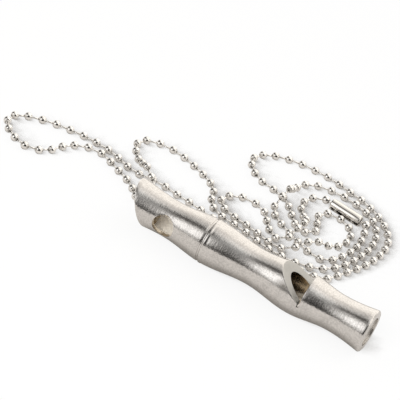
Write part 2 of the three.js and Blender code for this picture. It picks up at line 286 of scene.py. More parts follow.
class Effects:
    """Node groups that more than one finish uses; the scales are per metre."""

    STREAK_STEP = 1500.0
    STREAK_SCALE = 120.0
    SMEAR_SCALE = 260.0
    SPECK_SCALE = 2600.0
    GRIT_SCALE = 2400.0

    def __init__(self) -> None:
        """Makes each group once."""
        self.tool_lines = self.make_tool_lines()
        self.handling = self.make_handling()

    def make_tool_lines(self) -> bpy.types.NodeTree:
        """Makes the fine rings that a lathe tool leaves round the X line.

        Returns:
            A group that gives the rings' height and a slower streak value, both 0 to 1.
        """
        tree, wiring, start, end = new_group(
            "tool_lines",
            [("Vector", "NodeSocketVector", None), ("Lines", "NodeSocketFloat", 9000.0)],
            [("Height", "NodeSocketFloat"), ("Streak", "NodeSocketFloat")],
        )
        parts = wiring.add("ShaderNodeSeparateXYZ")
        wiring.join(start.outputs["Vector"], parts.inputs[0])
        fine = wiring.add("ShaderNodeTexNoise", noise_dimensions="1D")
        wiring.join(wiring.maths("MULTIPLY", parts.outputs["X"], start.outputs["Lines"]), fine.inputs["W"])
        fine.inputs["Scale"].default_value = 1.0
        fine.inputs["Detail"].default_value = 3.0
        slow = wiring.add("ShaderNodeTexNoise", noise_dimensions="4D")
        wiring.join(start.outputs["Vector"], slow.inputs["Vector"])
        wiring.join(wiring.maths("MULTIPLY", parts.outputs["X"], self.STREAK_STEP), slow.inputs["W"])
        slow.inputs["Scale"].default_value = self.STREAK_SCALE
        slow.inputs["Detail"].default_value = 4.0
        wiring.join(fine.outputs[0], end.inputs["Height"])
        wiring.join(slow.outputs[0], end.inputs["Streak"])
        return tree

    def make_handling(self) -> bpy.types.NodeTree:
        """Makes the soft smears and tiny specks of handled metal.

        Returns:
            A group that gives a smear, a speck and a fine grit value, all 0 to 1.
        """
        tree, wiring, start, end = new_group(
            "handling",
            [("Vector", "NodeSocketVector", None)],
            [("Smear", "NodeSocketFloat"), ("Speck", "NodeSocketFloat"), ("Grit", "NodeSocketFloat")],
        )
        smear = wiring.add("ShaderNodeTexNoise")
        smear.inputs["Scale"].default_value = self.SMEAR_SCALE
        smear.inputs["Detail"].default_value = 5.0
        smear.inputs["Roughness"].default_value = 0.62
        speck = wiring.add("ShaderNodeTexVoronoi", feature="F1")
        speck.inputs["Scale"].default_value = self.SPECK_SCALE
        grit = wiring.add("ShaderNodeTexNoise")
        grit.inputs["Scale"].default_value = self.GRIT_SCALE
        grit.inputs["Detail"].default_value = 2.0
        for node in (smear, speck, grit):
            wiring.join(start.outputs["Vector"], node.inputs["Vector"])
        wiring.join(grit.outputs[0], end.inputs["Grit"])
        wiring.join(smear.outputs[0], end.inputs["Smear"])
        wiring.join(wiring.span(speck.outputs["Distance"], 0.05, 0.22, 1.0, 0.0), end.inputs["Speck"])
        return tree


# Finishes

# Each of these is a value's start and end and what they become.
STREAK_TONE = (0.35, 0.7, 0.0, 0.55)
SMEAR_TONE = (0.45, 0.75, 0.0, 0.35)
GRIT_TONE = (0.38, 0.66, -0.18, 0.27)
RING_GRAIN = (0.2, 0.8, 0.0, 0.6)
SMEAR_GRAIN = (0.3, 0.7, 0.0, 0.4)
DARK_PATCH_EDGE = (0.5, 1.5, 0.85, 0.0)
PLATE_TONE = (0.4, 0.75, 0.0, 0.5)

# Shares of each mark in the steel's height.
RING_HEIGHT, GRIT_HEIGHT, SPECK_HEIGHT, SMEAR_HEIGHT = 3.4, 4.6, -0.2, 7.0


@dataclass(frozen=True)
class SteelFinish:
    """A machined steel surface with tool marks, smears and specks.

    Attributes:
        name: Material name.
        light: Colour of the clean metal.
        dark: Colour of the smears and tool marks.
        smooth: Lowest roughness.
        rough: Highest roughness.
        stretch: How far the tool marks draw reflections out along the axis.
        lines: Tool marks per metre.
        depth: Depth of the tool marks, mm.
        metal: How metallic the surface looks; less where it was left matt.
        dark_patch: Middle of a patch where the colour is darkened, mm, or None; in the end cavity it is
            painted shade.
        dark_patch_size: Half of the patch's length, width and height, mm.
        dark_patch_tone: Colour in the patch's middle.
    """

    name: str
    light: Colour
    dark: Colour
    smooth: float
    rough: float
    stretch: float
    lines: float
    depth: float
    metal: float = 1.0
    dark_patch: Point | None = None
    dark_patch_size: Point = (2.4, 1.6, 1.3)
    dark_patch_tone: Colour = (0.2, 0.185, 0.165)

    def make(self, effects: Effects) -> bpy.types.Material:
        """Makes the material.

        Args:
            effects: The shared node groups.

        Returns:
            The finished material.
        """
        material, wiring = new_material(self.name)
        place = wiring.add("ShaderNodeTexCoord").outputs["Object"]
        rings = wiring.add("ShaderNodeGroup", node_tree=effects.tool_lines)
        rings.inputs["Lines"].default_value = self.lines
        marks = wiring.add("ShaderNodeGroup", node_tree=effects.handling)
        for node in (rings, marks):
            wiring.join(place, node.inputs["Vector"])
        ring, streak = rings.outputs["Height"], rings.outputs["Streak"]
        smear, speck, grit = (marks.outputs[name] for name in ("Smear", "Speck", "Grit"))
        tone = wiring.total(wiring.span(streak, *STREAK_TONE), wiring.span(smear, *SMEAR_TONE),
                            wiring.span(grit, *GRIT_TONE))
        grain = wiring.total(wiring.span(ring, *RING_GRAIN), wiring.span(smear, *SMEAR_GRAIN))
        shares = ((ring, RING_HEIGHT), (grit, GRIT_HEIGHT), (speck, SPECK_HEIGHT), (smear, SMEAR_HEIGHT))
        height = wiring.total(*(wiring.maths("MULTIPLY", mark, share) for mark, share in shares))
        skin = wiring.blend(tone, self.light, self.dark)
        # Darken a patch of the colour; in the end cavity this is painted shade.
        if self.dark_patch:
            skin = self.darkened_patch(wiring, place, smear, skin)
        shader = wiring.add("ShaderNodeBsdfPrincipled")
        shader.inputs["Metallic"].default_value = self.metal
        shader.inputs["Anisotropic"].default_value = self.stretch
        shader.inputs["Anisotropic Rotation"].default_value = 0.25
        wiring.join(skin, shader.inputs["Base Color"])
        wiring.join(wiring.span(grain, 0.0, 1.0, self.smooth, self.rough), shader.inputs["Roughness"])
        wiring.join(wiring.bumped(height, self.depth), shader.inputs["Normal"])
        round_axis = wiring.add("ShaderNodeTangent", direction_type="RADIAL", axis="X")
        wiring.join(round_axis.outputs[0], shader.inputs["Tangent"])
        wiring.show(shader.outputs[0])
        return material

    def darkened_patch(self, wiring: Wiring, place: Socket, smear: Socket, skin: Socket) -> Socket:
        """Darkens the colour in a patch with an uneven edge; in the end cavity this is painted shade.

        Args:
            wiring: The material's wiring.
            place: Object coordinates.
            smear: A smear value, 0 to 1.
            skin: The colour without the patch.

        Returns:
            The colour with the patch.
        """
        centred = wiring.add("ShaderNodeMapping", vector_type="TEXTURE")
        centred.inputs["Location"].default_value = [v * MM for v in self.dark_patch]
        centred.inputs["Scale"].default_value = [v * MM for v in self.dark_patch_size]
        wiring.join(place, centred.inputs["Vector"])
        reach = wiring.add("ShaderNodeVectorMath", operation="LENGTH")
        wiring.join(centred.outputs[0], reach.inputs[0])
        uneven = wiring.maths("ADD", reach.outputs["Value"], wiring.maths("MULTIPLY", smear, 0.7))
        return wiring.blend(wiring.span(uneven, *DARK_PATCH_EDGE), skin, self.dark_patch_tone)


@dataclass(frozen=True)
class NickelFinish:
    """Polished nickel plate, a little different from bead to bead.

    Attributes:
        name: Material name.
        light: Colour of the brightest plate.
        dark: Colour of the dullest plate.
        smooth: Lowest roughness.
        rough: Highest roughness.
        pitting: Depth of the plate's unevenness, mm.
    """

    name: str
    light: Colour
    dark: Colour
    smooth: float
    rough: float
    pitting: float

    def make(self, effects: Effects) -> bpy.types.Material:
        """Makes the material.

        Args:
            effects: The shared node groups.

        Returns:
            The finished material.
        """
        material, wiring = new_material(self.name)
        marks = wiring.add("ShaderNodeGroup", node_tree=effects.handling)
        wiring.join(wiring.add("ShaderNodeTexCoord").outputs["Object"], marks.inputs["Vector"])
        smear = marks.outputs["Smear"]
        shade = wiring.add("ShaderNodeAttribute", attribute_name="shade").outputs["Fac"]
        tone = wiring.total(wiring.maths("MULTIPLY", shade, 0.5), wiring.span(smear, *PLATE_TONE))
        height = wiring.maths("SUBTRACT", wiring.maths("MULTIPLY", smear, 0.8), marks.outputs["Speck"])
        shader = wiring.add("ShaderNodeBsdfPrincipled")
        shader.inputs["Metallic"].default_value = 1.0
        wiring.join(wiring.blend(tone, self.light, self.dark), shader.inputs["Base Color"])
        wiring.join(wiring.span(tone, 0.0, 1.0, self.smooth, self.rough), shader.inputs["Roughness"])
        wiring.join(wiring.bumped(height, self.pitting), shader.inputs["Normal"])
        wiring.show(shader.outputs[0])
        return material


# The turned steel is darkened in a patch beside the foot of the window's ramp.
TURNED_STEEL = SteelFinish("turned_steel", (0.81, 0.79, 0.772), (0.53, 0.512, 0.497), 0.15, 0.27, 0.7,
                           2600.0, 0.006, dark_patch=(10.9, -5.3, 8.6))
# Painted shade: the bored steel is coloured darker and browner than the turned outside so that the insides of
# the bores look shaded.
BORED_STEEL_PAINTED_SHADE = SteelFinish("bored_steel_painted_shade", (0.66, 0.59, 0.49), (0.47, 0.41, 0.32), 0.12, 0.24, 0.4,
                          3000.0, 0.006)
MILLED_STEEL = SteelFinish("milled_steel", (0.6, 0.595, 0.575), (0.52, 0.515, 0.495), 0.5, 0.62, 0.0,
                           4000.0, 0.002)
# Painted light and shade: the end cavity's steel is coloured near white so that it looks lit through the
# cross hole, and its dark patch on the cavity wall left of the hole is painted shade.
DRILLED_STEEL_PAINTED_LIGHT_AND_SHADE = SteelFinish("drilled_steel_painted_light_and_shade", (0.98, 0.94, 0.87), (0.74, 0.69, 0.61), 0.4, 0.5, 0.2,
                            3000.0, 0.004, metal=0.35, dark_patch=(-27.6, 1.0, 2.4),
                            dark_patch_size=(1.9, 2.2, 2.2), dark_patch_tone=(0.3, 0.27, 0.23))
PLUG_STEEL = SteelFinish("plug_steel", (0.74, 0.715, 0.675), (0.54, 0.515, 0.475), 0.22, 0.34, 0.3,
                         4000.0, 0.004)
BEAD_NICKEL = NickelFinish("bead_nickel", (0.99, 0.98, 0.965), (0.86, 0.845, 0.82), 0.02, 0.06, 0.002)
CLASP_NICKEL = NickelFinish("clasp_nickel", (0.88, 0.86, 0.83), (0.74, 0.71, 0.67), 0.1, 0.2, 0.003)


# Mesh helpers


class Shell:
    """Collects a mesh patch by patch; patches that share points are joined when it closes.

    Distances here are in metres and the rim's angle is in radians.
    """

    JOIN_GAP = 2e-8
    TINY_EDGE = 1e-9
    RIM_ANGLE = 0.35

    def __init__(self) -> None:
        """Starts empty."""
        self.corners: list[Point] = []
        self.faces: list[tuple[int, ...]] = []
        self.cuts: list[int] = []

    def grid(self, rows: Sequence[Sequence[Point]], cut: Cut = Cut.TURNED) -> None:
        """Adds a patch of quads.

        Args:
            rows: Rows of points, all of one length, mm.
            cut: How the patch was machined.
        """
        start, width = len(self.corners), len(rows[0])
        for row in rows:
            self.corners.extend(row)
        for i in range(len(rows) - 1):
            for j in range(width - 1):
                a = start + i * width + j
                self.faces.append((a, a + 1, a + width + 1, a + width))
                self.cuts.append(int(cut))

    def strip(self, first: Sequence[Point], second: Sequence[Point], spans: int, cut: Cut) -> None:
        """Adds straight quads between two lines of points.

        Args:
            first: One line, mm.
            second: The other line, mm.
            spans: Quads across the strip.
            cut: How the strip was machined.
        """
        rows = [[mixed(a, b, i / spans) for a, b in zip(first, second)] for i in range(spans + 1)]
        self.grid(rows, cut)

    def close(self, name: str, bevel: float = 0.0, corner: float = 40.0) -> bpy.types.Object:
        """Joins the patches and makes the finished object.

        Args:
            name: The object's name.
            bevel: Width of the rounding where differently machined patches meet, mm.
            corner: Angle past which an edge stays sharp, degrees.

        Returns:
            The object, linked to the scene, its faces outwards and its normals weighted.
        """
        mesh = bpy.data.meshes.new(name)
        mesh.from_pydata([[c * MM for c in p] for p in self.corners], [], self.faces)
        for _ in range(max(self.cuts) + 1):
            mesh.materials.append(None)
        work = bmesh.new()
        work.from_mesh(mesh)
        for face, cut in zip(work.faces, self.cuts):
            face.material_index = cut
        bmesh.ops.remove_doubles(work, verts=work.verts, dist=self.JOIN_GAP)
        bmesh.ops.dissolve_degenerate(work, edges=work.edges, dist=self.TINY_EDGE)
        bmesh.ops.recalc_face_normals(work, faces=work.faces)
        open_edges = sum(1 for edge in work.edges if len(edge.link_faces) != 2)
        if open_edges:
            LOG.warning("%s has %d open edges", name, open_edges)
        if bevel:
            rims = [e for e in work.edges if len({f.material_index for f in e.link_faces}) == 2
                    and e.calc_face_angle(0) > self.RIM_ANGLE]
            bmesh.ops.bevel(work, geom=rims, offset=bevel * MM, offset_type="OFFSET", segments=2,
                            profile=0.6, affect="EDGES", clamp_overlap=True, material=-1)
        for edge in work.edges:
            edge.smooth = edge.calc_face_angle(0) < math.radians(corner)
        for face in work.faces:
            face.smooth = True
        work.to_mesh(mesh)
        work.free()
        made = bpy.data.objects.new(name, mesh)
        bpy.context.scene.collection.objects.link(made)
        weighted = made.modifiers.new("weighted", "WEIGHTED_NORMAL")
        weighted.keep_sharp = True
        settle(made)
        return made


def mixed(a: Point, b: Point, t: float) -> Point:
    """Returns the point at t between a and b."""
    return (a[0] + (b[0] - a[0]) * t, a[1] + (b[1] - a[1]) * t, a[2] + (b[2] - a[2]) * t)


def settle(made: bpy.types.Object) -> None:
    """Turns an object's evaluated shape into its plain mesh and drops its modifiers.

    Args:
        made: The object to settle.
    """
    seen = made.evaluated_get(bpy.context.evaluated_depsgraph_get())
    plain = bpy.data.meshes.new_from_object(seen)
    made.modifiers.clear()
    made.data = plain
    plain.name = made.name


def spread(marks: Sequence[float], step: float) -> list[float]:
    """Spaces values evenly between marks.

    Args:
        marks: Values that must appear, in order.
        step: About how far apart the values are.

    Returns:
        The values from the first mark to the last.
    """
    values = [marks[0]]
    for start, end in zip(marks, marks[1:]):
        count = max(1, round((end - start) / step))
        values += [start + (end - start) * i / count for i in range(1, count + 1)]
    return values


def dress(made: bpy.types.Object, finishes: Sequence[bpy.types.Material], body: Body, slot: Slot,
          nodes: Sequence[str]) -> None:
    """Gives a piece its finish and its body, and hides the CAD nodes that it replaces.

    Args:
        made: The piece.
        finishes: Its materials, in index order.
        body: The body that it rides on.
        slot: A material slot; not used.
        nodes: The CAD nodes that it replaces.
    """
    for index in range(len(made.data.materials)):
        made.data.materials[index] = finishes[min(index, len(finishes) - 1)]
    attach(made, body.value)
    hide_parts(*nodes)
    LOG.info("%s: %d faces on %s", made.name, len(made.data.polygons), body.value)


# The whistle


@dataclass
class Whistle:
    """The turned body with its window, cross hole and slanted end, and the windway plug."""

    length: float = 67.6
    bulge_r: float = 6.0
    sides: int = 40
    end_r: float = 0.965
    mouth_r: float = 0.963
    waist_r: float = 0.8
    first_bulge_r: float = 0.982
    stations: tuple[float, ...] = (-0.337, -0.164, 0.019, 0.197, 0.362)
    mouth_round: float = 0.6
    clean_mouth: float = 1.2
    ring_back: float = 0.3
    ring_w: float = 0.8
    groove_w: float = 0.6
    groove_depth: float = 0.25
    bore_r: float = 3.8
    septum_back: float = 1.2
    septum_t: float = 3.5
    window_turn: float = 90.0
    hole_turn: float = -2.0
    slant_turn: float = -86.0
    wall_x: float = 0.241
    ramp_angle: float = 33.0
    kerf_w: float = 0.5
    slant_angle: float = 28.0
    hole_r: float = 2.9
    hole_x: float = -0.339
    patch_half: float = 3.6
    patch_turn: float = 60.0
    plug_gap: float = 0.03
    plug_back: float = 0.5
    plug_edge: float = 0.12
    plug_lead: float = 0.3
    windway_h: float = 1.2
    rim: float = 0.16
    ramp_end: float = 86.0
    kerf_end: float = 95.9
    join_x: float = -2.0
    turn_step: float = 2.5
    place_step: float = 0.8
    patch_step: float = 0.45
    patch_layers: int = 5
    end_spans: int = 6
    body_spans: int = 22
    bore_spans: int = 14
    wall_spans: int = 3
    turns: list[float] = field(default_factory=list)

    def __post_init__(self) -> None:
        """Works out the places that follow from the sizes."""
        self.axis_z = self.bulge_r * math.cos(math.pi / self.sides)
        radii = (self.end_r, self.waist_r, self.first_bulge_r, self.waist_r, 1.0, self.waist_r, self.mouth_r)
        places = (-0.5, *self.stations, 0.5)
        self.outline = [(x * self.length, r * self.axis_z) for x, r in zip(places, radii)]
        self.wall = self.wall_x * self.length
        self.hole = self.hole_x * self.length
        first_bulge = self.stations[1] * self.length
        self.ring_x = first_bulge - self.ring_back
        self.septum = first_bulge - self.septum_back
        side, window = self.patch_turn, self.window_turn
        front, back = self.hole_turn, self.hole_turn + 180.0
        marks = [front - side, window - self.kerf_end, window - self.ramp_end, front + side, back - side,
                 window + self.ramp_end, window + self.kerf_end, back + side, front - side + 360.0]
        self.turns = spread(marks, self.turn_step)

    def at(self, x: float, r: float, turn: float) -> Point:
        """Returns the point at a place along the axis, a radius and a turn."""
        a = math.radians(turn)
        return (x, -r * math.cos(a), self.axis_z + r * math.sin(a))

    def radius(self, x: float) -> float:
        """Gives the wavy outline's radius without the node ring.

        Args:
            x: Place along the axis, mm.

        Returns:
            The radius, mm.
        """
        last = len(self.outline) - 2
        span = min(max(bisect_left([place for place, _ in self.outline], x) - 1, 0), last)
        (x0, r0), (x1, r1) = self.outline[span], self.outline[span + 1]
        t = (x - x0) / (x1 - x0)
        if span == 0:
            return r1 + (r0 - r1) * (1.0 - math.cos((1.0 - t) * math.pi / 2))
        if span == last:
            return r0 + (r1 - r0) * (1.0 - math.cos(t * math.pi / 2))
        return r0 + (r1 - r0) * (1.0 - math.cos(t * math.pi)) / 2

    def bore(self, x: float) -> float:
        """Returns the radius of both bores."""
        return self.bore_r

    def off_window(self, turn: float) -> float:
        """Returns the turn away from the window's middle, from -180 to 180."""
        return (turn - self.window_turn + 180.0) % 360.0 - 180.0

    def slant_x(self, turn: float, radius: Callable[[float], float]) -> float:
        """Finds where the slanted cut ends a surface.

        Args:
            turn: Turn about the axis, degrees.
            radius: The surface's radius at a place.

        Returns:
            Place along the axis, mm.
        """
        slope = math.tan(math.radians(self.slant_angle))
        tip = -self.length / 2 + slope * self.outline[0][1]
        x = tip
        for _ in range(30):
            x = tip + slope * radius(x) * math.cos(math.radians(turn - self.slant_turn))
        return max(x, -self.length / 2)

    def window_x(self, turn: float, radius: Callable[[float], float]) -> float:
        """Finds where the window's ramp or kerf ends a surface.

        Args:
            turn: Turn about the axis, degrees.
            radius: The surface's radius at a place.

        Returns:
            Place along the axis, mm.
        """
        kerf = self.wall - self.kerf_w
        rise = math.cos(math.radians(self.off_window(turn)))
        if rise <= 0.0:
            return kerf
        slope = math.tan(math.radians(self.ramp_angle))
        low, high = -10.0, self.wall
        for _ in range(50):
            x = (low + high) / 2
            if radius(x) * rise > (self.wall - x) * slope:
                high = x
            else:
                low = x
        return min(low, kerf)

    def ring_profile(self) -> list[tuple[float, float]]:
        """Draws the groove and the rounded ridge of the node ring.

        Returns:
            Places and radii from the groove's start to the ridge's end, mm.
        """
        start = self.ring_x - self.ring_w / 2 - self.groove_w
        top = self.axis_z
        floor = self.radius(start) - self.groove_depth
        points = [(start - 0.05, self.radius(start - 0.05)), (start + 0.02, self.radius(start) - 0.03)]
        points += [(start + 0.08, floor + 0.05), (start + 0.16, floor), (start + self.groove_w - 0.14, floor)]
        points += [(start + self.groove_w - 0.06, floor + 0.06)]
        left, right = start + self.groove_w, self.ring_x + self.ring_w / 2
        foot = self.radius(right + 0.12)
        points += [(left, top - 0.16), (left + 0.06, top - 0.07), (left + 0.2, top - 0.012)]
        points += [(self.ring_x, top), (right - 0.24, top - 0.01), (right - 0.1, top - 0.06)]
        points += [(right - 0.02, foot - 0.02), (right + 0.08, foot - 0.03)]
        points += [(right + 0.3, self.radius(right + 0.3))]
        return points

    def lathe_places(self) -> list[tuple[float, float]]:
        """Lists the rings from the hole's patch to the plain middle.

        Returns:
            Places and radii, mm.
        """
        ring, clear = self.ring_profile(), 0.4
        before = spread([self.hole + self.patch_half, ring[0][0] - clear], self.place_step)
        after = spread([ring[-1][0] + clear, self.join_x], self.place_step)
        return [(x, self.radius(x)) for x in before] + ring + [(x, self.radius(x)) for x in after]

    def sector(self, first: float, last: float) -> list[float]:
        """Returns the turns from one mark to another."""
        return [t for t in self.turns if first - HAIR <= t <= last + HAIR]

    def hole_patch(self, shell: Shell, centre: float, radius: Callable[[float], float], cut: Cut
                   ) -> list[Point]:
        """Adds the patch of a surface round one mouth of the cross hole.

        Args:
            shell: The mesh being made.
            centre: Turn of the hole's middle, degrees.
            radius: The surface's radius at a place.
            cut: How the surface was machined.

        Returns:
            The points round the hole's edge.
        """
        turns = self.sector(centre - self.patch_turn, centre + self.patch_turn)
        places = spread([self.hole - self.patch_half, self.hole + self.patch_half], self.patch_step)
        border = [(places[0], t) for t in turns]
        border += [(x, turns[-1]) for x in places[1:]]
        border += [(places[-1], t) for t in reversed(turns[:-1])]
        border += [(x, turns[0]) for x in reversed(places[:-1])]
        waist = self.waist_r * self.bulge_r
        edge: list[tuple[float, float]] = []
        for x, turn in border:
            angle = math.atan2(math.radians(turn - centre) * waist, x - self.hole)
            place = self.hole + self.hole_r * math.cos(angle)
            side = math.degrees(math.asin(self.hole_r * math.sin(angle) / radius(place)))
            edge.append((place, centre + side))
        rows = []
        for i in range(self.patch_layers + 1):
            t = i / self.patch_layers
            line = [(ex + (bx - ex) * t, et + (bt - et) * t) for (ex, et), (bx, bt) in zip(edge, border)]
            rows.append([self.at(x, radius(x), turn) for x, turn in line])
        shell.grid(rows, cut)
        return rows[0]

    def add_lanyard_end(self, shell: Shell) -> None:
        """Adds the slanted end and the cross hole on the outside and in the end cavity.

        Args:
            shell: The mesh being made.
        """
        start = self.hole - self.patch_half
        rims, mouths = [], []
        for radius, cut in ((self.radius, Cut.TURNED), (self.bore, Cut.DRILLED)):
            rows = []
            for i in range(self.end_spans + 1):
                row = []
                for turn in self.turns:
                    x0 = self.slant_x(turn, radius)
                    x = x0 + (start - x0) * i / self.end_spans
                    row.append(self.at(x, radius(x), turn))
                rows.append(row)
            shell.grid(rows, Cut.TURNED if cut == Cut.TURNED else Cut.BORED)
            rims.append(rows[0])
            places = spread([start, self.hole + self.patch_half], self.patch_step)
            front, back, side = self.hole_turn, self.hole_turn + 180.0, self.patch_turn
            for first, last in ((front + side, back - side), (back + side, front - side + 360.0)):
                turns = self.sector(first, last)
                shell.grid([[self.at(x, radius(x), t) for t in turns] for x in places], cut)
            mouths.append([self.hole_patch(shell, centre, radius, cut) for centre in (front, back)])
        shell.strip(rims[0], rims[1], self.wall_spans, Cut.MILLED)
        for outer, inner, cut in zip(*mouths, (Cut.BORED, Cut.DRILLED)):
            shell.strip(outer, inner, self.wall_spans, cut)

    def add_sounding_end(self, shell: Shell) -> None:
        """Adds the middle, the window and the mouthpiece, outside and in the sounding bore.

        Args:
            shell: The mesh being made.
        """
        end, kerf = self.length / 2, self.wall - self.kerf_w
        septum_end = self.septum + self.septum_t / 2
        beside = [self.sector(self.turns[0], self.window_turn - self.kerf_end),
                  self.sector(self.window_turn + self.kerf_end, self.turns[-1])]
        facing = self.sector(self.window_turn - self.kerf_end, self.window_turn + self.kerf_end)
        edges, walls, feet = [], [], []
        skins = ((self.radius, Cut.TURNED, self.join_x, self.body_spans),
                 (self.bore, Cut.BORED, septum_end, self.bore_spans))
        for radius, cut, start, spans in skins:
            rows = []
            for i in range(spans + 1):
                row = []
                for turn in self.turns:
                    x = start + (self.window_x(turn, radius) - start) * i / spans
                    row.append(self.at(x, radius(x), turn))
                rows.append(row)
            shell.grid(rows, cut)
            edges.append([point for point, turn in zip(rows[-1], self.turns)
                          if abs(self.off_window(turn)) <= self.kerf_end + HAIR])
            bridge = [kerf, self.wall]
            for turns in beside:
                shell.grid([[self.at(x, radius(x), t) for t in turns] for x in bridge], cut)
            sides = (self.window_turn - self.kerf_end, self.window_turn + self.kerf_end)
            feet.append([[self.at(x, radius(x), side) for x in bridge] for side in sides])
            walls.append([self.at(self.wall, radius(self.wall), t) for t in facing])
            stop = end - (self.mouth_round if cut == Cut.TURNED else self.clean_mouth)
            places = spread([self.wall, stop], self.place_step * (1 if cut == Cut.TURNED else 2))
            shell.grid([[self.at(x, radius(x), t) for t in self.turns] for x in places], cut)
        for outer, inner in (edges, walls):
            shell.strip(outer, inner, self.wall_spans, Cut.MILLED)
        for outer, inner in zip(*feet):
            shell.strip(outer, inner, self.wall_spans, Cut.TURNED)
        self.add_mouth(shell)

    def add_mouth(self, shell: Shell) -> None:
        """Adds the mouthpiece's rounded edge, flat rim and the clean start of its bore.

        Args:
            shell: The mesh being made.
        """
        end, soft = self.length / 2, self.mouth_round
        start = self.radius(end - soft)
        profile = []
        for i in range(7):
            a = math.radians(15 * i)
            profile.append((end - soft + soft * math.sin(a), start - soft * (1.0 - math.cos(a))))
        profile += [(end, start - soft - (start - soft - self.bore_r) * i / 3) for i in (1, 2, 3)]
        profile += [(end - self.clean_mouth / 2, self.bore_r), (end - self.clean_mouth, self.bore_r)]
        shell.grid([[self.at(x, r, t) for t in self.turns] for x, r in profile], Cut.TURNED)

    def build_body(self) -> bpy.types.Object:
        """Builds the body as one closed skin.

        Returns:
            The body's object.
        """
        shell = Shell()
        self.add_lanyard_end(shell)
        shell.grid([[self.at(x, r, t) for t in self.turns] for x, r in self.lathe_places()], Cut.TURNED)
        cavity_end = self.septum - self.septum_t / 2
        places = spread([self.hole + self.patch_half, cavity_end], 1.0)
        shell.grid([[self.at(x, self.bore_r, t) for t in self.turns] for x in places], Cut.DRILLED)
        for x in (cavity_end, self.septum + self.septum_t / 2):
            radii = [self.bore_r * i / 5 for i in range(6)]
            shell.grid([[self.at(x, r, t) for t in self.turns] for r in radii], Cut.BORED)
        self.add_sounding_end(shell)
        return shell.close("whistle_body_turned", bevel=self.rim)

    def build_plug(self) -> bpy.types.Object:
        """Builds the plug, a rod with a flat milled along its top for the windway.

        Returns:
            The plug's object.
        """
        shell = Shell()
        r, flat = self.bore_r - self.plug_gap, self.bore_r - self.windway_h
        half = math.degrees(math.acos(flat / r))
        arc = spread([self.window_turn + half, self.window_turn - half + 360.0], 4.0)
        section = [(r, t) for t in arc]
        offs = spread([-half, 0.0, half], 9.0)
        top = [(flat / math.cos(math.radians(off)), self.window_turn + off) for off in offs]
        x0, x1 = self.wall, self.length / 2 - self.plug_back
        soft, lead = self.plug_edge, self.plug_lead
        for line, cut in ((section, Cut.TURNED), (top, Cut.MILLED)):
            rows = []
            for x, inset in ((x0, soft), (x0 + 0.03, 0.03), (x0 + soft, 0.0), (x1 - lead, 0.0),
                             (x1 - 0.1, lead - 0.1), (x1 - 0.03, lead - 0.03), (x1, lead + 0.05)):
                rows.append([self.at(x, radius * (1.0 - inset / r), t) for radius, t in line])
            shell.grid(rows, cut)
            for x, inset in ((x0, soft), (x1, lead + 0.05)):
                shell.grid([[self.at(x, radius * (1.0 - inset / r) * i / 4, t) for radius, t in line]
                            for i in range(5)], cut)
        return shell.close("windway_plug_fitted")

    def dress(self, steels: dict[Cut, bpy.types.Material], plug: bpy.types.Material) -> None:
        """Builds both pieces and gives them their finishes.

        Args:
            steels: The body's material for each kind of cut.
            plug: The plug's material.
        """
        dress(self.build_body(), [steels[cut] for cut in Cut], Body.WHISTLE, Slot.SATIN, ["whistle_body"])
        dress(self.build_plug(), [plug, plug, plug], Body.WHISTLE, Slot.PLUG, ["windway_plug"])


# The clasp and the beads on its line


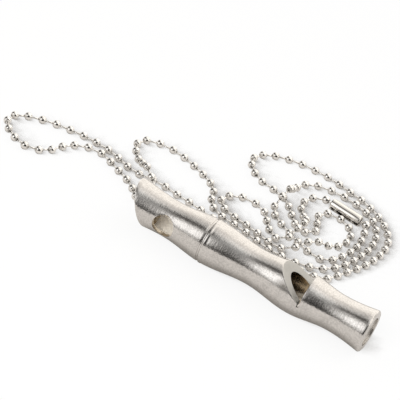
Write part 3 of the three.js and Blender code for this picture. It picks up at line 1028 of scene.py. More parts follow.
@dataclass
class Clasp:
    """The slotted sleeve, the two end beads in it, the two neck beads beside it and their pins."""

    x: float = 6.3
    y: float = 50.75
    yaw: float = -6.5
    sleeve_r: float = 1.5
    wall: float = 0.3
    sleeve_l: float = 9.2
    lip_r: float = 0.7
    slot_w: float = 0.9
    slot_turn: float = -20.0
    bead_r: float = 1.1
    bead_wall: float = 0.22
    bead_hole_r: float = 0.45
    bead_pitch: float = 3.8
    pin_r: float = 0.25
    pin_head_r: float = 0.5
    pin_head_t: float = 0.22
    pin_head_reach: float = 0.5
    bead_play: float = 0.6
    sleeve_round: float = 0.35
    inner_round: float = 0.2
    sleeve_steps: int = 56
    bead_steps: tuple[int, int] = (16, 10)
    bead_sides: int = 28
    pin_sides: int = 14

    def __post_init__(self) -> None:
        """Works out where the beads sit on the line."""
        self.end_bead = self.sleeve_l / 2 - self.wall - self.bead_r - self.bead_play
        self.neck_bead = self.end_bead + self.bead_pitch

    def at(self, along: float, r: float, turn: float) -> Point:
        """Places a point on the clasp's line.

        Args:
            along: Place along the line, mm.
            r: Distance from the line, mm.
            turn: Turn about the line, degrees.

        Returns:
            The point, mm.
        """
        yaw, a = math.radians(self.yaw), math.radians(turn)
        side = -r * math.cos(a)
        return (self.x + along * math.cos(yaw) - side * math.sin(yaw),
                self.y + along * math.sin(yaw) + side * math.cos(yaw),
                self.sleeve_r + r * math.sin(a))

    def turned(self, name: str, profile: Sequence[tuple[float, float]], sides: int) -> bpy.types.Object:
        """Turns a profile about the clasp's line.

        Args:
            name: The object's name.
            profile: Places and radii, mm.
            sides: Steps round the line.

        Returns:
            The object.
        """
        shell = Shell()
        turns = [360.0 * i / sides for i in range(sides + 1)]
        shell.grid([[self.at(t, r, turn) for turn in turns] for t, r in profile])
        return shell.close(name)

    def build_sleeve(self) -> bpy.types.Object:
        """Builds the rolled sleeve with its parallel slot, rolled ends and thin wall.

        Returns:
            The sleeve's object.
        """
        half, r, wall = self.sleeve_l / 2, self.sleeve_r, self.wall
        soft, fold = self.sleeve_round, self.inner_round
        bends = [math.radians(22.5 * i) for i in range(5)]
        outer = [(-half, self.lip_r), (-half, r - soft - 0.2)]
        outer += [(-half + soft * (1.0 - math.sin(a)), r - soft * (1.0 - math.cos(a)))
                  for a in reversed(bends)]
        inner = [(-half + wall, self.lip_r), (-half + wall, r - wall - 0.25)]
        inner += [(-half + wall + fold * (1.0 - math.cos(a)), r - wall - fold * (1.0 - math.sin(a)))
                  for a in bends]
        for t in (-2.4, -0.8):
            outer.append((t, r))
            inner.append((t, r - wall))
        outer += [(-t, radius) for t, radius in reversed(outer)]
        inner += [(-t, radius) for t, radius in reversed(inner)]
        loop = outer + inner[::-1] + outer[:1]
        steps = self.sleeve_steps
        shell = Shell()

        def placed(point: tuple[float, float], share: float) -> Point:
            """Returns a profile point at a share of the way round, from slot edge to slot edge."""
            gap = math.degrees(math.asin(self.slot_w / 2 / point[1]))
            return self.at(point[0], point[1], self.slot_turn + gap + share * (360.0 - 2.0 * gap))

        shell.grid([[placed(p, i / steps) for p in loop] for i in range(steps + 1)])
        for share in (0.0, 1.0):
            shell.grid([[placed(p, share) for p in outer], [placed(p, share) for p in inner]], Cut.MILLED)
        return shell.close("clasp_sleeve_rolled", bevel=0.05)

    def build_bead(self, name: str, place: float) -> bpy.types.Object:
        """Builds a hollow bead with a hole at each end.

        Args:
            name: The object's name.
            place: Place along the clasp's line, mm.

        Returns:
            The bead's object.
        """
        inner = self.bead_r - self.bead_wall
        profile = []
        for radius, steps, way in zip((self.bead_r, inner), self.bead_steps, (1, -1)):
            open_angle = math.acos(self.bead_hole_r / radius)
            for i in range(steps + 1):
                a = way * open_angle * (2 * i / steps - 1)
                profile.append((place + radius * math.sin(a), radius * math.cos(a)))
        profile.append(profile[0])
        return self.turned(name, profile, self.bead_sides)

    def build_pin(self, name: str, place: float) -> bpy.types.Object:
        """Builds a dumbbell pin with a head in each of two beads.

        Args:
            name: The object's name.
            place: Place of its middle along the clasp's line, mm.

        Returns:
            The pin's object.
        """
        head, t, r = self.bead_pitch / 2 - self.pin_head_reach, self.pin_head_t, self.pin_head_r
        side = [(0.0, self.pin_r), (head - 0.08, self.pin_r), (head, self.pin_r + 0.06)]
        side += [(head + 0.3 * t, 0.86 * r), (head + 0.55 * t, r), (head + 0.85 * t, 0.8 * r)]
        side += [(head + t, 0.5 * r), (head + t, 0.0)]
        profile = [(place - x, radius) for x, radius in reversed(side[1:])]
        profile += [(place + x, radius) for x, radius in side]
        return self.turned(name, profile, self.pin_sides)

    def dress(self, bead: bpy.types.Material, sleeve: bpy.types.Material) -> list[bpy.types.Object]:
        """Builds the pieces and gives them their finishes and bodies.

        Args:
            bead: The beads' and pins' material.
            sleeve: The sleeve's material.

        Returns:
            All pieces, which belong to the chain.
        """
        made = [self.build_sleeve()]
        dress(made[0], [sleeve, sleeve, sleeve], Body.CLASP, Slot.NICKEL, ["clasp_sleeve"])
        spins = {"left": (-1, Body.LEFT_END_BEAD, Body.LEFT_NECK_BEAD),
                 "right": (1, Body.RIGHT_END_BEAD, Body.RIGHT_NECK_BEAD)}
        for side, (way, end_body, neck_body) in spins.items():
            between = (self.end_bead + self.neck_bead) / 2
            pieces = [
                (self.build_bead, "end_bead", "hollow", self.end_bead, end_body),
                (self.build_bead, "neck_bead", "hollow", self.neck_bead, neck_body),
                (self.build_pin, "end_pin", "headed", between, Body.WHISTLE),
            ]
            for build, node, form, place, body in pieces:
                made.append(build(f"{node}_{side}_{form}", way * place))
                dress(made[-1], [bead], body, Slot.NICKEL, [f"{node}_{side}"])
        return made


# The chain


class ChainTree:
    """Geometry nodes that string beads and pins along a line of points.

    A bead has a row of faces turned in at each end. A pin stops short of each bead's middle, and both
    stops together are its inset, in bead radii.
    """

    BEAD_ROWS = 6
    PIN_SIDES = 8
    PIN_INSET = 1.1

    def __init__(self) -> None:
        """Builds the tree once."""
        self.tree = bpy.data.node_groups.new("bead_string", "GeometryNodeTree")
        face = self.tree.interface
        face.new_socket("Line", in_out="INPUT", socket_type="NodeSocketGeometry")
        self.names: dict[str, str] = {}
        for label, kind in (("Bead radius", "NodeSocketFloat"), ("Hole radius", "NodeSocketFloat"),
                            ("Lip depth", "NodeSocketFloat"), ("Pin radius", "NodeSocketFloat"),
                            ("Bead sides", "NodeSocketInt"), ("Seed", "NodeSocketInt"),
                            ("Finish", "NodeSocketMaterial")):
            self.names[label] = face.new_socket(label, in_out="INPUT", socket_type=kind).identifier
        face.new_socket("Chain", in_out="OUTPUT", socket_type="NodeSocketGeometry")
        self.wiring = Wiring(self.tree)
        self.start = self.wiring.add("NodeGroupInput")
        self.end = self.wiring.add("NodeGroupOutput")
        self.wire()

    def bead(self) -> Socket:
        """Shapes a sheet of quads into a bead open at both ends, its edges turned in.

        Returns:
            The bead's geometry.
        """
        w, given = self.wiring, self.start.outputs
        sheet = w.add("GeometryNodeMeshGrid")
        sheet.inputs["Vertices Y"].default_value = self.BEAD_ROWS + 1
        w.join(w.maths("ADD", given["Bead sides"], 1.0), sheet.inputs["Vertices X"])
        flat = w.add("ShaderNodeSeparateXYZ")
        w.join(w.add("GeometryNodeInputPosition").outputs[0], flat.inputs[0])
        round_angle = w.maths("MULTIPLY", flat.outputs["X"], 2.0 * math.pi)
        across = w.maths("MULTIPLY", flat.outputs["Y"], 2.0 * self.BEAD_ROWS / (self.BEAD_ROWS - 2.0))
        on_bead = w.maths("MINIMUM", w.maths("MAXIMUM", across, -1.0), 1.0)
        turned_in = w.maths("MULTIPLY", w.maths("SUBTRACT", across, on_bead), given["Lip depth"])
        open_angle = w.maths("ARCCOSINE", w.maths("DIVIDE", given["Hole radius"], given["Bead radius"]))
        angle = w.maths("MULTIPLY", on_bead, open_angle)
        reach = w.maths("MULTIPLY", w.maths("SINE", angle), given["Bead radius"])
        along = w.maths("SUBTRACT", reach, turned_in)
        out = w.maths("MULTIPLY", w.maths("COSINE", angle), given["Bead radius"])
        place = w.add("ShaderNodeCombineXYZ")
        w.join(along, place.inputs[0])
        w.join(w.maths("MULTIPLY", out, w.maths("COSINE", round_angle)), place.inputs[1])
        w.join(w.maths("MULTIPLY", out, w.maths("SINE", round_angle)), place.inputs[2])
        bent = w.add("GeometryNodeSetPosition")
        w.join(sheet.outputs["Mesh"], bent.inputs["Geometry"])
        w.join(place.outputs[0], bent.inputs["Position"])
        seam = w.add("GeometryNodeMergeByDistance")
        seam.inputs["Distance"].default_value = 1e-6
        w.join(bent.outputs[0], seam.inputs["Geometry"])
        return seam.outputs[0]

    def random(self, low: float, high: float, offset: float) -> Socket:
        """Gives each point or instance its own number.

        Args:
            low: Lowest number.
            high: Highest number.
            offset: Added to the seed, so that two calls differ.

        Returns:
            The number.
        """
        w = self.wiring
        node = w.add("FunctionNodeRandomValue", data_type="FLOAT")
        node.inputs[2].default_value = low
        node.inputs[3].default_value = high
        w.join(w.maths("ADD", self.start.outputs["Seed"], offset), node.inputs["Seed"])
        return node.outputs[1]

    def beads(self) -> Socket:
        """Sets a bead on every point but the first and last, along the line.

        Returns:
            The bead instances.
        """
        w = self.wiring
        line = w.add("GeometryNodeMeshToCurve")
        w.join(self.start.outputs["Line"], line.inputs[0])
        aim = w.add("FunctionNodeAlignRotationToVector", axis="X")
        w.join(w.add("GeometryNodeInputTangent").outputs[0], aim.inputs["Vector"])
        roll = w.add("FunctionNodeAxisAngleToRotation")
        roll.inputs["Axis"].default_value = (1.0, 0.0, 0.0)
        w.join(self.random(0.0, 2.0 * math.pi, 1.0), roll.inputs["Angle"])
        turned = w.add("FunctionNodeRotateRotation", rotation_space="LOCAL")
        w.join(aim.outputs[0], turned.inputs[0])
        w.join(roll.outputs[0], turned.inputs[1])
        ends = w.add("GeometryNodeCurveEndpointSelection")
        inside = w.add("FunctionNodeBooleanMath", operation="NOT")
        w.join(ends.outputs[0], inside.inputs[0])
        placed = w.add("GeometryNodeInstanceOnPoints")
        w.join(line.outputs[0], placed.inputs["Points"])
        w.join(inside.outputs[0], placed.inputs["Selection"])
        w.join(self.bead(), placed.inputs["Instance"])
        w.join(turned.outputs[0], placed.inputs["Rotation"])
        return placed.outputs[0]

    def pins(self) -> Socket:
        """Sets a pin on every edge, from inside one bead to inside the next.

        Returns:
            The pin instances.
        """
        w, given = self.wiring, self.start.outputs
        ends = w.add("GeometryNodeInputMeshEdgeVertices")
        way = w.add("ShaderNodeVectorMath", operation="SUBTRACT")
        w.join(ends.outputs["Position 2"], way.inputs[0])
        w.join(ends.outputs["Position 1"], way.inputs[1])
        keep = w.add("GeometryNodeCaptureAttribute", domain="EDGE")
        keep.capture_items.new("VECTOR", "Way")
        w.join(given["Line"], keep.inputs[0])
        w.join(way.outputs[0], keep.inputs[1])
        middles = w.add("GeometryNodeMeshToPoints", mode="EDGES")
        w.join(keep.outputs[0], middles.inputs["Mesh"])
        aim = w.add("FunctionNodeAlignRotationToVector", axis="Z")
        w.join(keep.outputs[1], aim.inputs["Vector"])
        reach = w.add("ShaderNodeVectorMath", operation="LENGTH")
        w.join(keep.outputs[1], reach.inputs[0])
        inset = w.maths("MULTIPLY", given["Bead radius"], self.PIN_INSET)
        long = w.maths("SUBTRACT", reach.outputs["Value"], inset)
        size = w.add("ShaderNodeCombineXYZ")
        size.inputs[0].default_value = size.inputs[1].default_value = 1.0
        w.join(long, size.inputs[2])
        pin = w.add("GeometryNodeMeshCylinder", fill_type="NGON")
        pin.inputs["Vertices"].default_value = self.PIN_SIDES
        pin.inputs["Depth"].default_value = 1.0
        w.join(given["Pin radius"], pin.inputs["Radius"])
        placed = w.add("GeometryNodeInstanceOnPoints")
        w.join(middles.outputs[0], placed.inputs["Points"])
        w.join(pin.outputs["Mesh"], placed.inputs["Instance"])
        w.join(aim.outputs[0], placed.inputs["Rotation"])
        w.join(size.outputs[0], placed.inputs["Scale"])
        return placed.outputs[0]

    def wire(self) -> None:
        """Joins beads and pins, gives each its shade, and makes them real and smooth."""
        w = self.wiring
        both = w.add("GeometryNodeJoinGeometry")
        for part in (self.beads(), self.pins()):
            w.join(part, both.inputs[0])
        shade = w.add("GeometryNodeStoreNamedAttribute", data_type="FLOAT", domain="INSTANCE")
        shade.inputs["Name"].default_value = "shade"
        w.join(both.outputs[0], shade.inputs["Geometry"])
        w.join(self.random(0.0, 1.0, 2.0), shade.inputs["Value"])
        smooth = w.add("GeometryNodeSetShadeSmooth")
        real = w.add("GeometryNodeRealizeInstances")
        finish = w.add("GeometryNodeSetMaterial")
        w.join(shade.outputs[0], real.inputs[0])
        w.join(real.outputs[0], smooth.inputs[0])
        w.join(smooth.outputs[0], finish.inputs["Geometry"])
        w.join(self.start.outputs["Finish"], finish.inputs["Material"])
        w.join(finish.outputs[0], self.end.inputs[0])


STRETCHES: dict[str, list[Point]] = {
    "chain_from_clasp": [
        (-2.2, 50.6, 0.12), (-3.5, 48.5, 0), (-4.0, 45.8, 0), (-3.6, 43.0, 0), (-2.2, 40.5, 0),
        (-0.7, 38.2, 0.15), (0.4, 36.2, 0.55), (1.0, 34.2, 0.98), (1.2, 32.4, 1.05), (1.1, 30.4, 1.03),
        (1.0, 28.4, 1.05), (0.9, 26.5, 0.8),
    ],
    "chain_back_loop": [
        (0.4, 24.7, 0.42), (-0.9, 23.4, 0.16), (-2.7, 23.4, 0.06), (-4.6, 25.0, 0.04), (-6.3, 27.2, 0.01),
        (-7.9, 29.6, 0.01), (-9.6, 31.9, 0.01), (-12.0, 33.2, 0), (-14.8, 33.4, 0), (-17.5, 32.3, 0),
        (-19.4, 30.1, 0), (-20.1, 27.4, 0), (-19.0, 25.0, 0), (-16.9, 23.5, 0), (-14.2, 22.7, 0),
        (-11.0, 22.3, 0.01), (-7.8, 21.7, 0.01), (-4.6, 20.7, 0.02),
    ],
    "chain_inner_turn": [
        (-1.6, 20.0, 0.04), (1.3, 20.3, 0.15), (3.6, 21.9, 0.55), (5.2, 24.3, 1.0), (6.5, 27.0, 1.05),
        (8.1, 29.5, 0.7), (9.9, 31.9, 0.25), (11.2, 34.6, 0.03), (12.0, 37.6, 0), (12.0, 40.7, 0),
        (11.0, 43.6, 0), (8.9, 46.0, 0), (6.0, 47.2, 0), (3.2, 46.7, 0), (1.6, 44.6, 0), (1.8, 41.9, 0),
        (2.9, 39.2, 0), (3.9, 36.7, 0), (3.8, 34.5, 0), (2.4, 33.1, 0),
    ],
    "chain_outer_turn": [
        (0.5, 32.9, 0), (-1.4, 34.1, 0), (-3.2, 36.3, 0), (-5.2, 39.0, 0), (-7.6, 41.7, 0),
        (-10.4, 43.4, 0), (-13.6, 43.9, 0), (-16.9, 44.7, 0), (-19.9, 46.9, 0), (-22.0, 49.8, 0),
        (-22.8, 53.1, 0), (-21.9, 56.3, 0), (-19.6, 58.8, 0), (-16.4, 60.7, 0), (-12.7, 62.0, 0),
        (-8.7, 62.6, 0), (-4.8, 62.8, 0), (-1.0, 62.4, 0), (2.6, 61.6, 0), (6.8, 60.8, 0), (10.8, 59.0, 0),
        (14.3, 56.7, 0), (17.2, 53.7, 0), (19.4, 50.3, 0), (20.6, 46.6, 0), (20.9, 42.6, 0),
        (20.8, 38.6, 0), (20.3, 34.8, 0), (19.4, 31.1, 0), (18.2, 27.6, 0), (17.1, 24.2, 0),
        (16.0, 20.8, 0),
    ],
    "chain_back_run": [
        (14.6, 18.0, 0), (11.8, 16.7, 0), (8.6, 16.1, 0), (5.4, 15.6, 0), (2.2, 15.0, 0), (-1.0, 14.7, 0),
        (-4.2, 14.9, 0), (-7.4, 15.6, 0), (-10.6, 16.3, 0), (-13.9, 16.8, 0), (-17.3, 17.1, 0),
        (-20.8, 17.6, 0), (-24.5, 18.2, 0), (-28.5, 18.5, 0), (-32.6, 19.1, 0),
    ],
    "chain_left_loop": [
        (-36.4, 19.2, 0), (-39.8, 18.3, 0), (-43.2, 18.4, 0), (-46.8, 19.7, 0), (-50.6, 21.0, 0),
        (-54.7, 21.3, 0), (-58.8, 21.1, 0), (-62.7, 20.4, 0), (-66.6, 19.4, 0), (-70.3, 17.8, 0),
        (-73.8, 15.7, 0), (-75.9, 13.0, 0), (-75.8, 10.0, 0), (-73.9, 7.1, 0), (-70.9, 4.8, 0),
        (-67.5, 3.6, 0), (-64.3, 4.3, 0), (-61.8, 6.8, 0), (-60.5, 10.1, 0), (-59.4, 13.4, 0),
        (-57.2, 16.1, 0), (-54.3, 17.8, 0), (-51.2, 17.9, 0), (-48.1, 16.6, 0), (-44.8, 14.9, 0),
    ],
    "chain_threaded": [
        (-41.3, 13.1, 0.01), (-38.4, 10.8, 0.03), (-36.1, 8.0, 0.16), (-34.2, 5.1, 0.59),
        (-32.2, 2.8, 1.11), (-29.8, 1.6, 1.46), (-27.4, 1.5, 1.64), (-25.1, 2.0, 1.68), (-23.5, 3.4, 1.66),
        (-23.1, 5.3, 1.58), (-23.5, 7.2, 1.22), (-24.6, 8.9, 0.59), (-26.4, 10.4, 0.14),
        (-28.9, 11.9, 0.04), (-31.0, 13.2, 0.06), (-33.2, 14.3, 0.25), (-35.4, 15.6, 0.7),
        (-37.4, 17.1, 1.04), (-39.1, 18.7, 1.1), (-40.6, 20.4, 0.8),
    ],
    "chain_middle_loop": [
        (-42.0, 22.1, 0.35), (-43.6, 24.0, 0.05), (-45.4, 26.2, 0), (-46.9, 28.7, 0), (-47.6, 31.6, 0),
        (-46.6, 34.2, 0), (-43.9, 35.9, 0), (-40.4, 36.5, 0), (-36.6, 36.1, 0), (-32.8, 34.9, 0),
        (-29.2, 33.4, 0), (-25.9, 31.6, 0), (-23.4, 29.0, 0), (-22.3, 25.8, 0), (-21.0, 23.0, 0),
        (-18.8, 20.9, 0),
    ],
    "chain_bundle_run": [
        (-16.0, 19.9, 0), (-13.0, 19.6, 0), (-9.9, 19.2, 0), (-6.8, 18.5, 0), (-3.7, 17.7, 0),
        (-0.5, 17.4, 0), (2.6, 17.6, 0), (5.6, 18.0, 0), (8.4, 18.9, 0), (11.0, 20.5, 0), (13.2, 22.7, 0),
    ],
    "chain_third_turn": [
        (14.9, 25.6, 0), (16.2, 29.2, 0), (17.0, 33.0, 0), (17.6, 37.0, 0), (17.8, 40.9, 0),
        (17.5, 44.3, 0), (16.8, 47.7, 0), (15.1, 51.5, 0), (12.4, 54.7, 0), (8.8, 56.8, 0), (5.2, 57.7, 0),
        (1.6, 57.8, 0), (-2.2, 57.2, 0), (-5.7, 55.6, 0), (-7.8, 52.8, 0), (-8.3, 49.5, 0.1),
        (-8.3, 46.7, 0.5), (-8.2, 44.3, 1.06), (-8.2, 42.3, 1.18), (-8.4, 40.4, 1.0), (-8.7, 38.0, 0.3),
        (-8.5, 35.6, 0.03),
    ],
    "chain_to_clasp": [
        (-7.2, 33.4, 0), (-5.0, 31.5, 0), (-2.4, 29.9, 0), (0.6, 28.3, 0), (3.9, 26.5, 0), (7.2, 25.3, 0),
        (10.3, 25.4, 0), (12.6, 27.6, 0), (13.9, 31.2, 0), (14.7, 35.2, 0), (14.9, 39.4, 0),
        (14.5, 43.4, 0), (13.7, 46.8, 0.08),
    ],
}


@dataclass
class Chain:
    """The lying bead chain, from the left neck bead round to the right one.

    Route points are x, y and the lift in chain layers.
    """

    clasp: Clasp
    layer: float = 2.55
    lip: float = 0.4
    bead_sides: int = 10
    seed: int = 7
    samples: int = 16

    def route(self) -> list[Vector]:
        """Draws the chain's smooth line.

        Returns:
            Points close together along the line, mm.
        """
        clasp = self.clasp
        marks = [Vector(clasp.at(-clasp.neck_bead, 0.0, 0.0))]
        for points in STRETCHES.values():
            marks += [Vector((x, y, clasp.bead_r + lift * self.layer)) for x, y, lift in points]
        marks.append(Vector(clasp.at(clasp.neck_bead, 0.0, 0.0)))
        marks = [2 * marks[0] - marks[1], *marks, 2 * marks[-1] - marks[-2]]
        line = [marks[1]]
        for p0, p1, p2, p3 in zip(marks, marks[1:], marks[2:], marks[3:]):
            d0, d1, d2 = (max(math.sqrt((b - a).length), 1e-4) for a, b in ((p0, p1), (p1, p2), (p2, p3)))
            t1 = ((p1 - p0) / d0 - (p2 - p0) / (d0 + d1) + (p2 - p1) / d1) * d1
            t2 = ((p2 - p1) / d1 - (p3 - p1) / (d1 + d2) + (p3 - p2) / d2) * d1
            for i in range(1, self.samples + 1):
                t = i / self.samples
                line.append(p1 + t1 * t + (3 * (p2 - p1) - 2 * t1 - t2) * t * t
                            + (2 * (p1 - p2) + t1 + t2) * t * t * t)
        return line

    def bead_places(self, line: Sequence[Vector]) -> tuple[list[Vector], float]:
        """Spaces the beads evenly along the line.

        Args:
            line: Points close together along the line, mm.

        Returns:
            The beads' middles, both neck beads among them, and the line's length, mm.
        """
        reached = [0.0]
        for a, b in zip(line, line[1:]):
            reached.append(reached[-1] + (b - a).length)
        count = round(reached[-1] / self.clasp.bead_pitch)
        places = []
        for i in range(count + 1):
            along = min(reached[-1] * i / count, reached[-1] - 1e-9)
            k = max(bisect_left(reached, along), 1)
            t = (along - reached[k - 1]) / (reached[k] - reached[k - 1])
            places.append(line[k - 1].lerp(line[k], t))
        return places, reached[-1]

    def build(self, finish: bpy.types.Material, line: Sequence[Vector]) -> bpy.types.Object:
        """Strings the beads and pins.

        Args:
            finish: The chain's material.
            line: Points close together along the line, mm.

        Returns:
            The chain as one plain mesh.
        """
        clasp = self.clasp
        places, _ = self.bead_places(line)
        mesh = bpy.data.meshes.new("bead_chain")
        mesh.from_pydata([p * MM for p in places], [(i, i + 1) for i in range(len(places) - 1)], [])
        made = bpy.data.objects.new("bead_chain", mesh)
        bpy.context.scene.collection.objects.link(made)
        tree = ChainTree()
        string = made.modifiers.new("string", "NODES")
        string.node_group = tree.tree
        sizes = {"Bead radius": clasp.bead_r * MM, "Hole radius": clasp.bead_hole_r * MM,
                 "Lip depth": self.lip * MM, "Pin radius": clasp.pin_r * MM, "Bead sides": self.bead_sides,
                 "Seed": self.seed, "Finish": finish}
        for label, value in sizes.items():
            string[tree.names[label]] = value
        settle(made)
        return made

    def dress(self, finish: bpy.types.Material, on_it: Sequence[bpy.types.Object]) -> None:
        """Builds the chain, gives it its finish and body, and logs its length.

        Args:
            finish: The chain's material.
            on_it: The clasp's pieces; not used.
        """
        line = self.route()
        made = self.build(finish, line)
        _, length = self.bead_places(line)
        dress(made, [finish], Body.WHISTLE, Slot.NICKEL, list(STRETCHES))
        LOG.info("chain of %.1f mm", length)


# The studio


@dataclass(frozen=True)
class Lamp:
    """A square soft box.

    Attributes:
        name: The lamp's name.
        place: Where it is, m.
        size: Its side, m.
        power: Its power, W.
        colour: Its colour.
    """

    name: str
    place: Point
    size: float
    power: float
    colour: Colour

    def build(self, target: Point) -> None:
        """Places the lamp; the metal mirrors the drawn room in its stead.

        Args:
            target: What it looks at, m.
        """
        data = bpy.data.lights.new(self.name, "AREA")
        data.shape = "SQUARE"
        data.size = self.size
        data.energy = self.power
        data.color = self.colour
        lamp = bpy.data.objects.new(self.name, data)
        lamp.location = self.place
        lamp.visible_glossy = False
        look = Vector(target) - Vector(self.place)
        lamp.rotation_euler = look.to_track_quat("-Z", "Y").to_euler()
        bpy.context.scene.collection.objects.link(lamp)


@dataclass
class Studio:
    """Floor, lights, surroundings and camera at the photographed angle.

    Ramps are a value's start and end, and where there are four numbers what they become. Each dark of the
    mirrored room is its direction, the angles where it is full and where it ends, and its brightness.
    Bands are angles and their colours.
    """

    azimuth: float = 15.5
    elevation: float = 31.5
    roll: float = 21.2
    distance: float = 600.0
    view_angle: float = 9.304
    aim_from: Point = (0.0, 0.0, 6.0)
    aim_right: float = -12.34
    aim_up: float = 15.61
    sensor: float = 36.0
    lamps: tuple[Lamp, ...] = (
        Lamp("back_box", (0.45, 0.75, 0.9), 1.2, 4.0, (1.0, 0.97, 0.93)),
        Lamp("front_box", (-0.16, -0.93, 0.63), 0.5, 8.0, (1.0, 0.98, 0.95)),
    )
    lamps_look_at: Point = (0.0, 0.03, 0.0)
    fill: float = 0.68
    fill_colour: Colour = (1.0, 0.985, 0.965)
    white: Colour = (1.0, 1.0, 1.0)
    floor_half: float = 4000.0
    floor_drop: float = 0.02
    floor_colour: Colour = (0.9, 0.9, 0.9)
    floor_share: float = 0.87
    mirror_share: float = 0.7
    floor_tone: Colour = (0.66, 0.615, 0.565)
    shade_tone: Colour = (0.13, 0.11, 0.085)
    shade_reach: float = 8.0
    shade_way: Point = (-0.42, -0.84, -0.34)
    shade_ramp: tuple[float, float] = (0.75, 0.84)
    under_reach: float = 7.0
    under_ramp: tuple[float, float] = (0.35, 0.8)
    box_way: Point = (-0.55, -0.70, 0.455)
    wall_ramp: tuple[float, float, float, float] = (-0.2, 0.05, 0.0, 1.0)
    left_ramp: tuple[float, float, float, float] = (-0.72, -0.42, 0.15, 1.0)
    overhead_ramp: tuple[float, float, float, float] = (60.0, 76.0, 1.0, 0.0)
    darks: tuple[tuple[Point, float, float, float], ...] = (
        ((0.2, -0.97, 0.1), 8.0, 24.0, 0.2), ((1.0, -0.05, 0.14), 5.0, 21.0, 0.3),
        ((0.58, -0.71, 0.40), 25.0, 41.0, 0.03), ((0.68, 0.6, 0.42), 4.0, 24.0, 0.3),
    )
    box_bands: tuple[tuple[float, Colour], ...] = (
        (0.0, (1.5, 1.48, 1.45)), (15.0, (1.42, 1.4, 1.37)), (18.5, (0.95, 0.93, 0.9)),
        (24.0, (0.6, 0.585, 0.56)), (29.0, (0.42, 0.405, 0.385)), (33.0, (0.1, 0.092, 0.085)),
        (42.0, (0.07, 0.063, 0.057)), (46.0, (0.4, 0.39, 0.37)), (53.0, (0.64, 0.62, 0.59)),
        (61.0, (0.75, 0.72, 0.68)), (68.0, (0.81, 0.77, 0.72)), (75.0, (0.99, 0.94, 0.88)),
        (83.0, (1.23, 1.17, 1.08)), (92.0, (1.3, 1.24, 1.15)), (130.0, (1.3, 1.24, 1.15)),
        (180.0, (1.1, 1.05, 0.99)),
    )
    wall_bands: tuple[tuple[float, Colour], ...] = (
        (10.0, (0.0, 0.0, 0.0)), (22.0, (0.36, 0.345, 0.33)), (36.0, (0.46, 0.45, 0.435)),
        (52.0, (0.52, 0.515, 0.5)), (64.0, (0.64, 0.64, 0.62)), (76.0, (0.9, 0.89, 0.86)),
        (87.0, (1.16, 1.12, 1.07)), (98.0, (1.02, 0.97, 0.91)), (110.0, (0.3, 0.3, 0.3)),
    )

    def set_camera(self) -> None:
        """Places the camera and makes it the scene's."""
        a, e, roll = (math.radians(v) for v in (self.azimuth, self.elevation, self.roll))
        level = Vector((math.cos(a), math.sin(a), 0.0))
        rise = Vector((-math.sin(a) * math.sin(e), math.cos(a) * math.sin(e), math.cos(e)))
        back = Vector((math.sin(a) * math.cos(e), -math.cos(a) * math.cos(e), math.sin(e)))
        right = level * math.cos(roll) + rise * math.sin(roll)
        up = rise * math.cos(roll) - level * math.sin(roll)
        place = Vector(self.aim_from) + right * self.aim_right + up * self.aim_up + back * self.distance
        data = bpy.data.cameras.new("camera")
        data.sensor_fit = "HORIZONTAL"
        data.sensor_width = self.sensor
        data.lens = self.sensor / 2 / math.tan(math.radians(self.view_angle) / 2)
        data.clip_start, data.clip_end = 0.01, 20.0
        camera = bpy.data.objects.new("camera", data)
        turn = Matrix((right, up, back)).transposed().to_4x4()
        camera.matrix_world = Matrix.Translation(place * MM) @ turn
        bpy.context.scene.collection.objects.link(camera)
        bpy.context.scene.camera = camera

    @staticmethod
    def shaded(wiring: Wiring, reach: float, samples: int) -> bpy.types.Node:
        """Adds a node that is dark where things stand near the floor.

        Args:
            wiring: The floor's wiring.
            reach: How far things are looked for, mm.
            samples: The node's samples.

        Returns:
            The occlusion node.
        """
        node = wiring.add("ShaderNodeAmbientOcclusion", samples=samples)
        node.inputs["Distance"].default_value = reach * MM
        return node

    def set_floor(self) -> None:
        """Lays the pale floor: white to the camera, greyer in the metal, with a faint shadow from the lamps
        and a shadow painted from occlusion.
        """
        mesh = bpy.data.meshes.new("floor")
        half = self.floor_half * MM
        corners = [(-half, -half, 0), (half, -half, 0), (half, half, 0), (-half, half, 0)]
        mesh.from_pydata(corners, [], [(0, 1, 2, 3)])
        floor = bpy.data.objects.new("floor", mesh)
        floor.location.z = -self.floor_drop * MM
        material, wiring = new_material("pale_floor")
        path = wiring.add("ShaderNodeLightPath").outputs
        plain = wiring.add("ShaderNodeBsdfDiffuse")
        plain.inputs["Color"].default_value = (*self.floor_colour, 1.0)
        near = self.shaded(wiring, self.shade_reach, 16)
        under = self.shaded(wiring, self.under_reach, 6)
        to_box = wiring.add("ShaderNodeCombineXYZ")
        for socket, value in zip(to_box.inputs, self.shade_way):
            socket.default_value = value
        wiring.join(to_box.outputs[0], near.inputs["Normal"])
        # Painted shadow: occlusion darkens the floor's glow towards the shade tone where things stand near,
        # both to the camera and in the metal.
        in_metal = wiring.blend(wiring.span(under.outputs["AO"], *self.under_ramp, 0.0, 1.0),
                                self.shade_tone, self.floor_tone)
        to_eye = wiring.blend(wiring.span(near.outputs["AO"], *self.shade_ramp, 0.0, 1.0),
                              self.shade_tone, self.white)
        glow = wiring.add("ShaderNodeEmission")
        wiring.join(wiring.blend(path["Is Camera Ray"], in_metal, to_eye), glow.inputs["Color"])
        mirrored = wiring.maths("MAXIMUM", path["Is Glossy Ray"], path["Is Transmission Ray"])
        share = wiring.maths("MAXIMUM", wiring.maths("MULTIPLY", path["Is Camera Ray"], self.floor_share),
                             wiring.maths("MULTIPLY", mirrored, self.mirror_share))
        wiring.show(wiring.either(share, plain.outputs[0], glow.outputs[0]))
        mesh.materials.append(material)
        bpy.context.scene.collection.objects.link(floor)
        floor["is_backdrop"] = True

    @staticmethod
    def angle_from(wiring: Wiring, way: Socket, centre: Point) -> Socket:
        """Measures how far a direction is from a fixed one.

        Args:
            wiring: The tree's wiring.
            way: The direction.
            centre: The fixed direction, of any length.

        Returns:
            The angle, degrees.
        """
        along = wiring.add("ShaderNodeVectorMath", operation="DOT_PRODUCT")
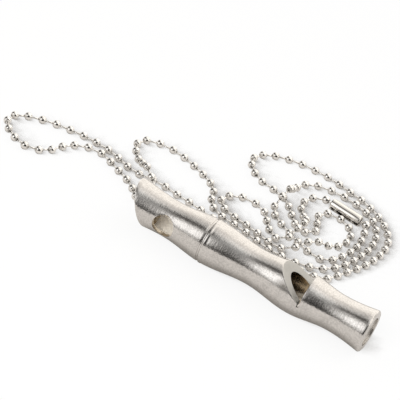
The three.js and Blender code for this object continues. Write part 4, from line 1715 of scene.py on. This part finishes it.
        wiring.join(way, along.inputs[0])
        along.inputs[1].default_value = Vector(centre).normalized()
        return wiring.maths("DEGREES", wiring.maths("ARCCOSINE", along.outputs["Value"]))

    @staticmethod
    def banded(wiring: Wiring, angle: Socket, bands: Sequence[tuple[float, Colour]]) -> Socket:
        """Colours an angle by bands.

        Args:
            wiring: The tree's wiring.
            angle: The angle, from 0 to 180 degrees.
            bands: Angles and their colours, in order.

        Returns:
            The colour.
        """
        node = wiring.add("ShaderNodeValToRGB")
        ramp = node.color_ramp
        while len(ramp.elements) < len(bands):
            ramp.elements.new(0.5)
        for element, (place, colour) in zip(ramp.elements, bands):
            element.position = place / 180.0
            element.color = (*colour, 1.0)
        wiring.join(wiring.maths("DIVIDE", angle, 180.0), node.inputs[0])
        return node.outputs[0]

    def mirrored_room(self, wiring: Wiring) -> Socket:
        """Draws the room that the metal mirrors.

        A soft box stands to the front left with dark round it, a grey wall is behind the camera, dark
        things stand to the front and round the right, and everything else is pale.

        Args:
            wiring: The world's wiring.

        Returns:
            The room's colour.
        """
        way = wiring.add("ShaderNodeTexCoord").outputs["Generated"]
        parts = wiring.add("ShaderNodeSeparateXYZ")
        wiring.join(way, parts.inputs[0])
        across = parts.outputs["X"]
        front = wiring.maths("MULTIPLY", parts.outputs["Y"], -1.0)
        over = wiring.maths("DEGREES", wiring.maths("ARCTAN2", parts.outputs["Z"], front))
        box = self.banded(wiring, self.angle_from(wiring, way, self.box_way), self.box_bands)
        wall = self.banded(wiring, over, self.wall_bands)
        room = wiring.blend(wiring.span(across, *self.wall_ramp), box, wall, "LIGHTEN")
        shade = wiring.maths("MAXIMUM", wiring.span(across, *self.left_ramp),
                             wiring.span(over, *self.overhead_ramp))
        for centre, inner, outer, low in self.darks:
            dim = wiring.span(self.angle_from(wiring, way, centre), inner, outer, low, 1.0)
            shade = wiring.maths("MULTIPLY", shade, dim)
        return wiring.blend(1.0, room, shade, "MULTIPLY")

    def set_surroundings(self) -> None:
        """Sets the white background, the even fill light and the room that the metal mirrors."""
        world = bpy.data.worlds.new("studio")
        world.use_nodes = True
        bpy.context.scene.world = world
        wiring = Wiring(world.node_tree)
        path = wiring.add("ShaderNodeLightPath").outputs
        fill, mirrored, white = (wiring.add("ShaderNodeBackground") for _ in range(3))
        fill.inputs["Color"].default_value = (*self.fill_colour, 1.0)
        fill.inputs["Strength"].default_value = self.fill
        wiring.join(self.mirrored_room(wiring), mirrored.inputs["Color"])
        white.inputs["Color"].default_value = (*self.white, 1.0)
        lit = wiring.either(path["Is Glossy Ray"], fill.outputs[0], mirrored.outputs[0])
        wiring.show(wiring.either(path["Is Camera Ray"], lit, white.outputs[0]), "ShaderNodeOutputWorld")

    def build(self) -> None:
        """Sets up the whole studio."""
        bpy.context.scene.view_settings.view_transform = "Standard"
        self.set_camera()
        self.set_floor()
        self.set_surroundings()
        for lamp in self.lamps:
            lamp.build(self.lamps_look_at)


def write_sizes() -> None:
    boxes = {"cad": CAD_BOX, "visual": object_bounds()}
    {name: [[float(v) for v in corner] for corner in box] for name, box in boxes.items()}


def main() -> None:
    """Builds the studio, the chain, the clasp and the whistle."""
    logging.basicConfig(level=logging.INFO, format="%(name)s: %(message)s")
    Studio().build()
    effects = Effects()
    nickel = BEAD_NICKEL.make(effects)
    clasp = Clasp()
    on_chain = clasp.dress(nickel, CLASP_NICKEL.make(effects))
    Chain(clasp).dress(nickel, on_chain)
    finishes = (TURNED_STEEL, BORED_STEEL_PAINTED_SHADE, MILLED_STEEL, DRILLED_STEEL_PAINTED_LIGHT_AND_SHADE)
    steels = {cut: finish.make(effects) for cut, finish in zip(Cut, finishes)}
    Whistle().dress(steels, PLUG_STEEL.make(effects))
    write_sizes()


if __name__ == "__main__":
    main()
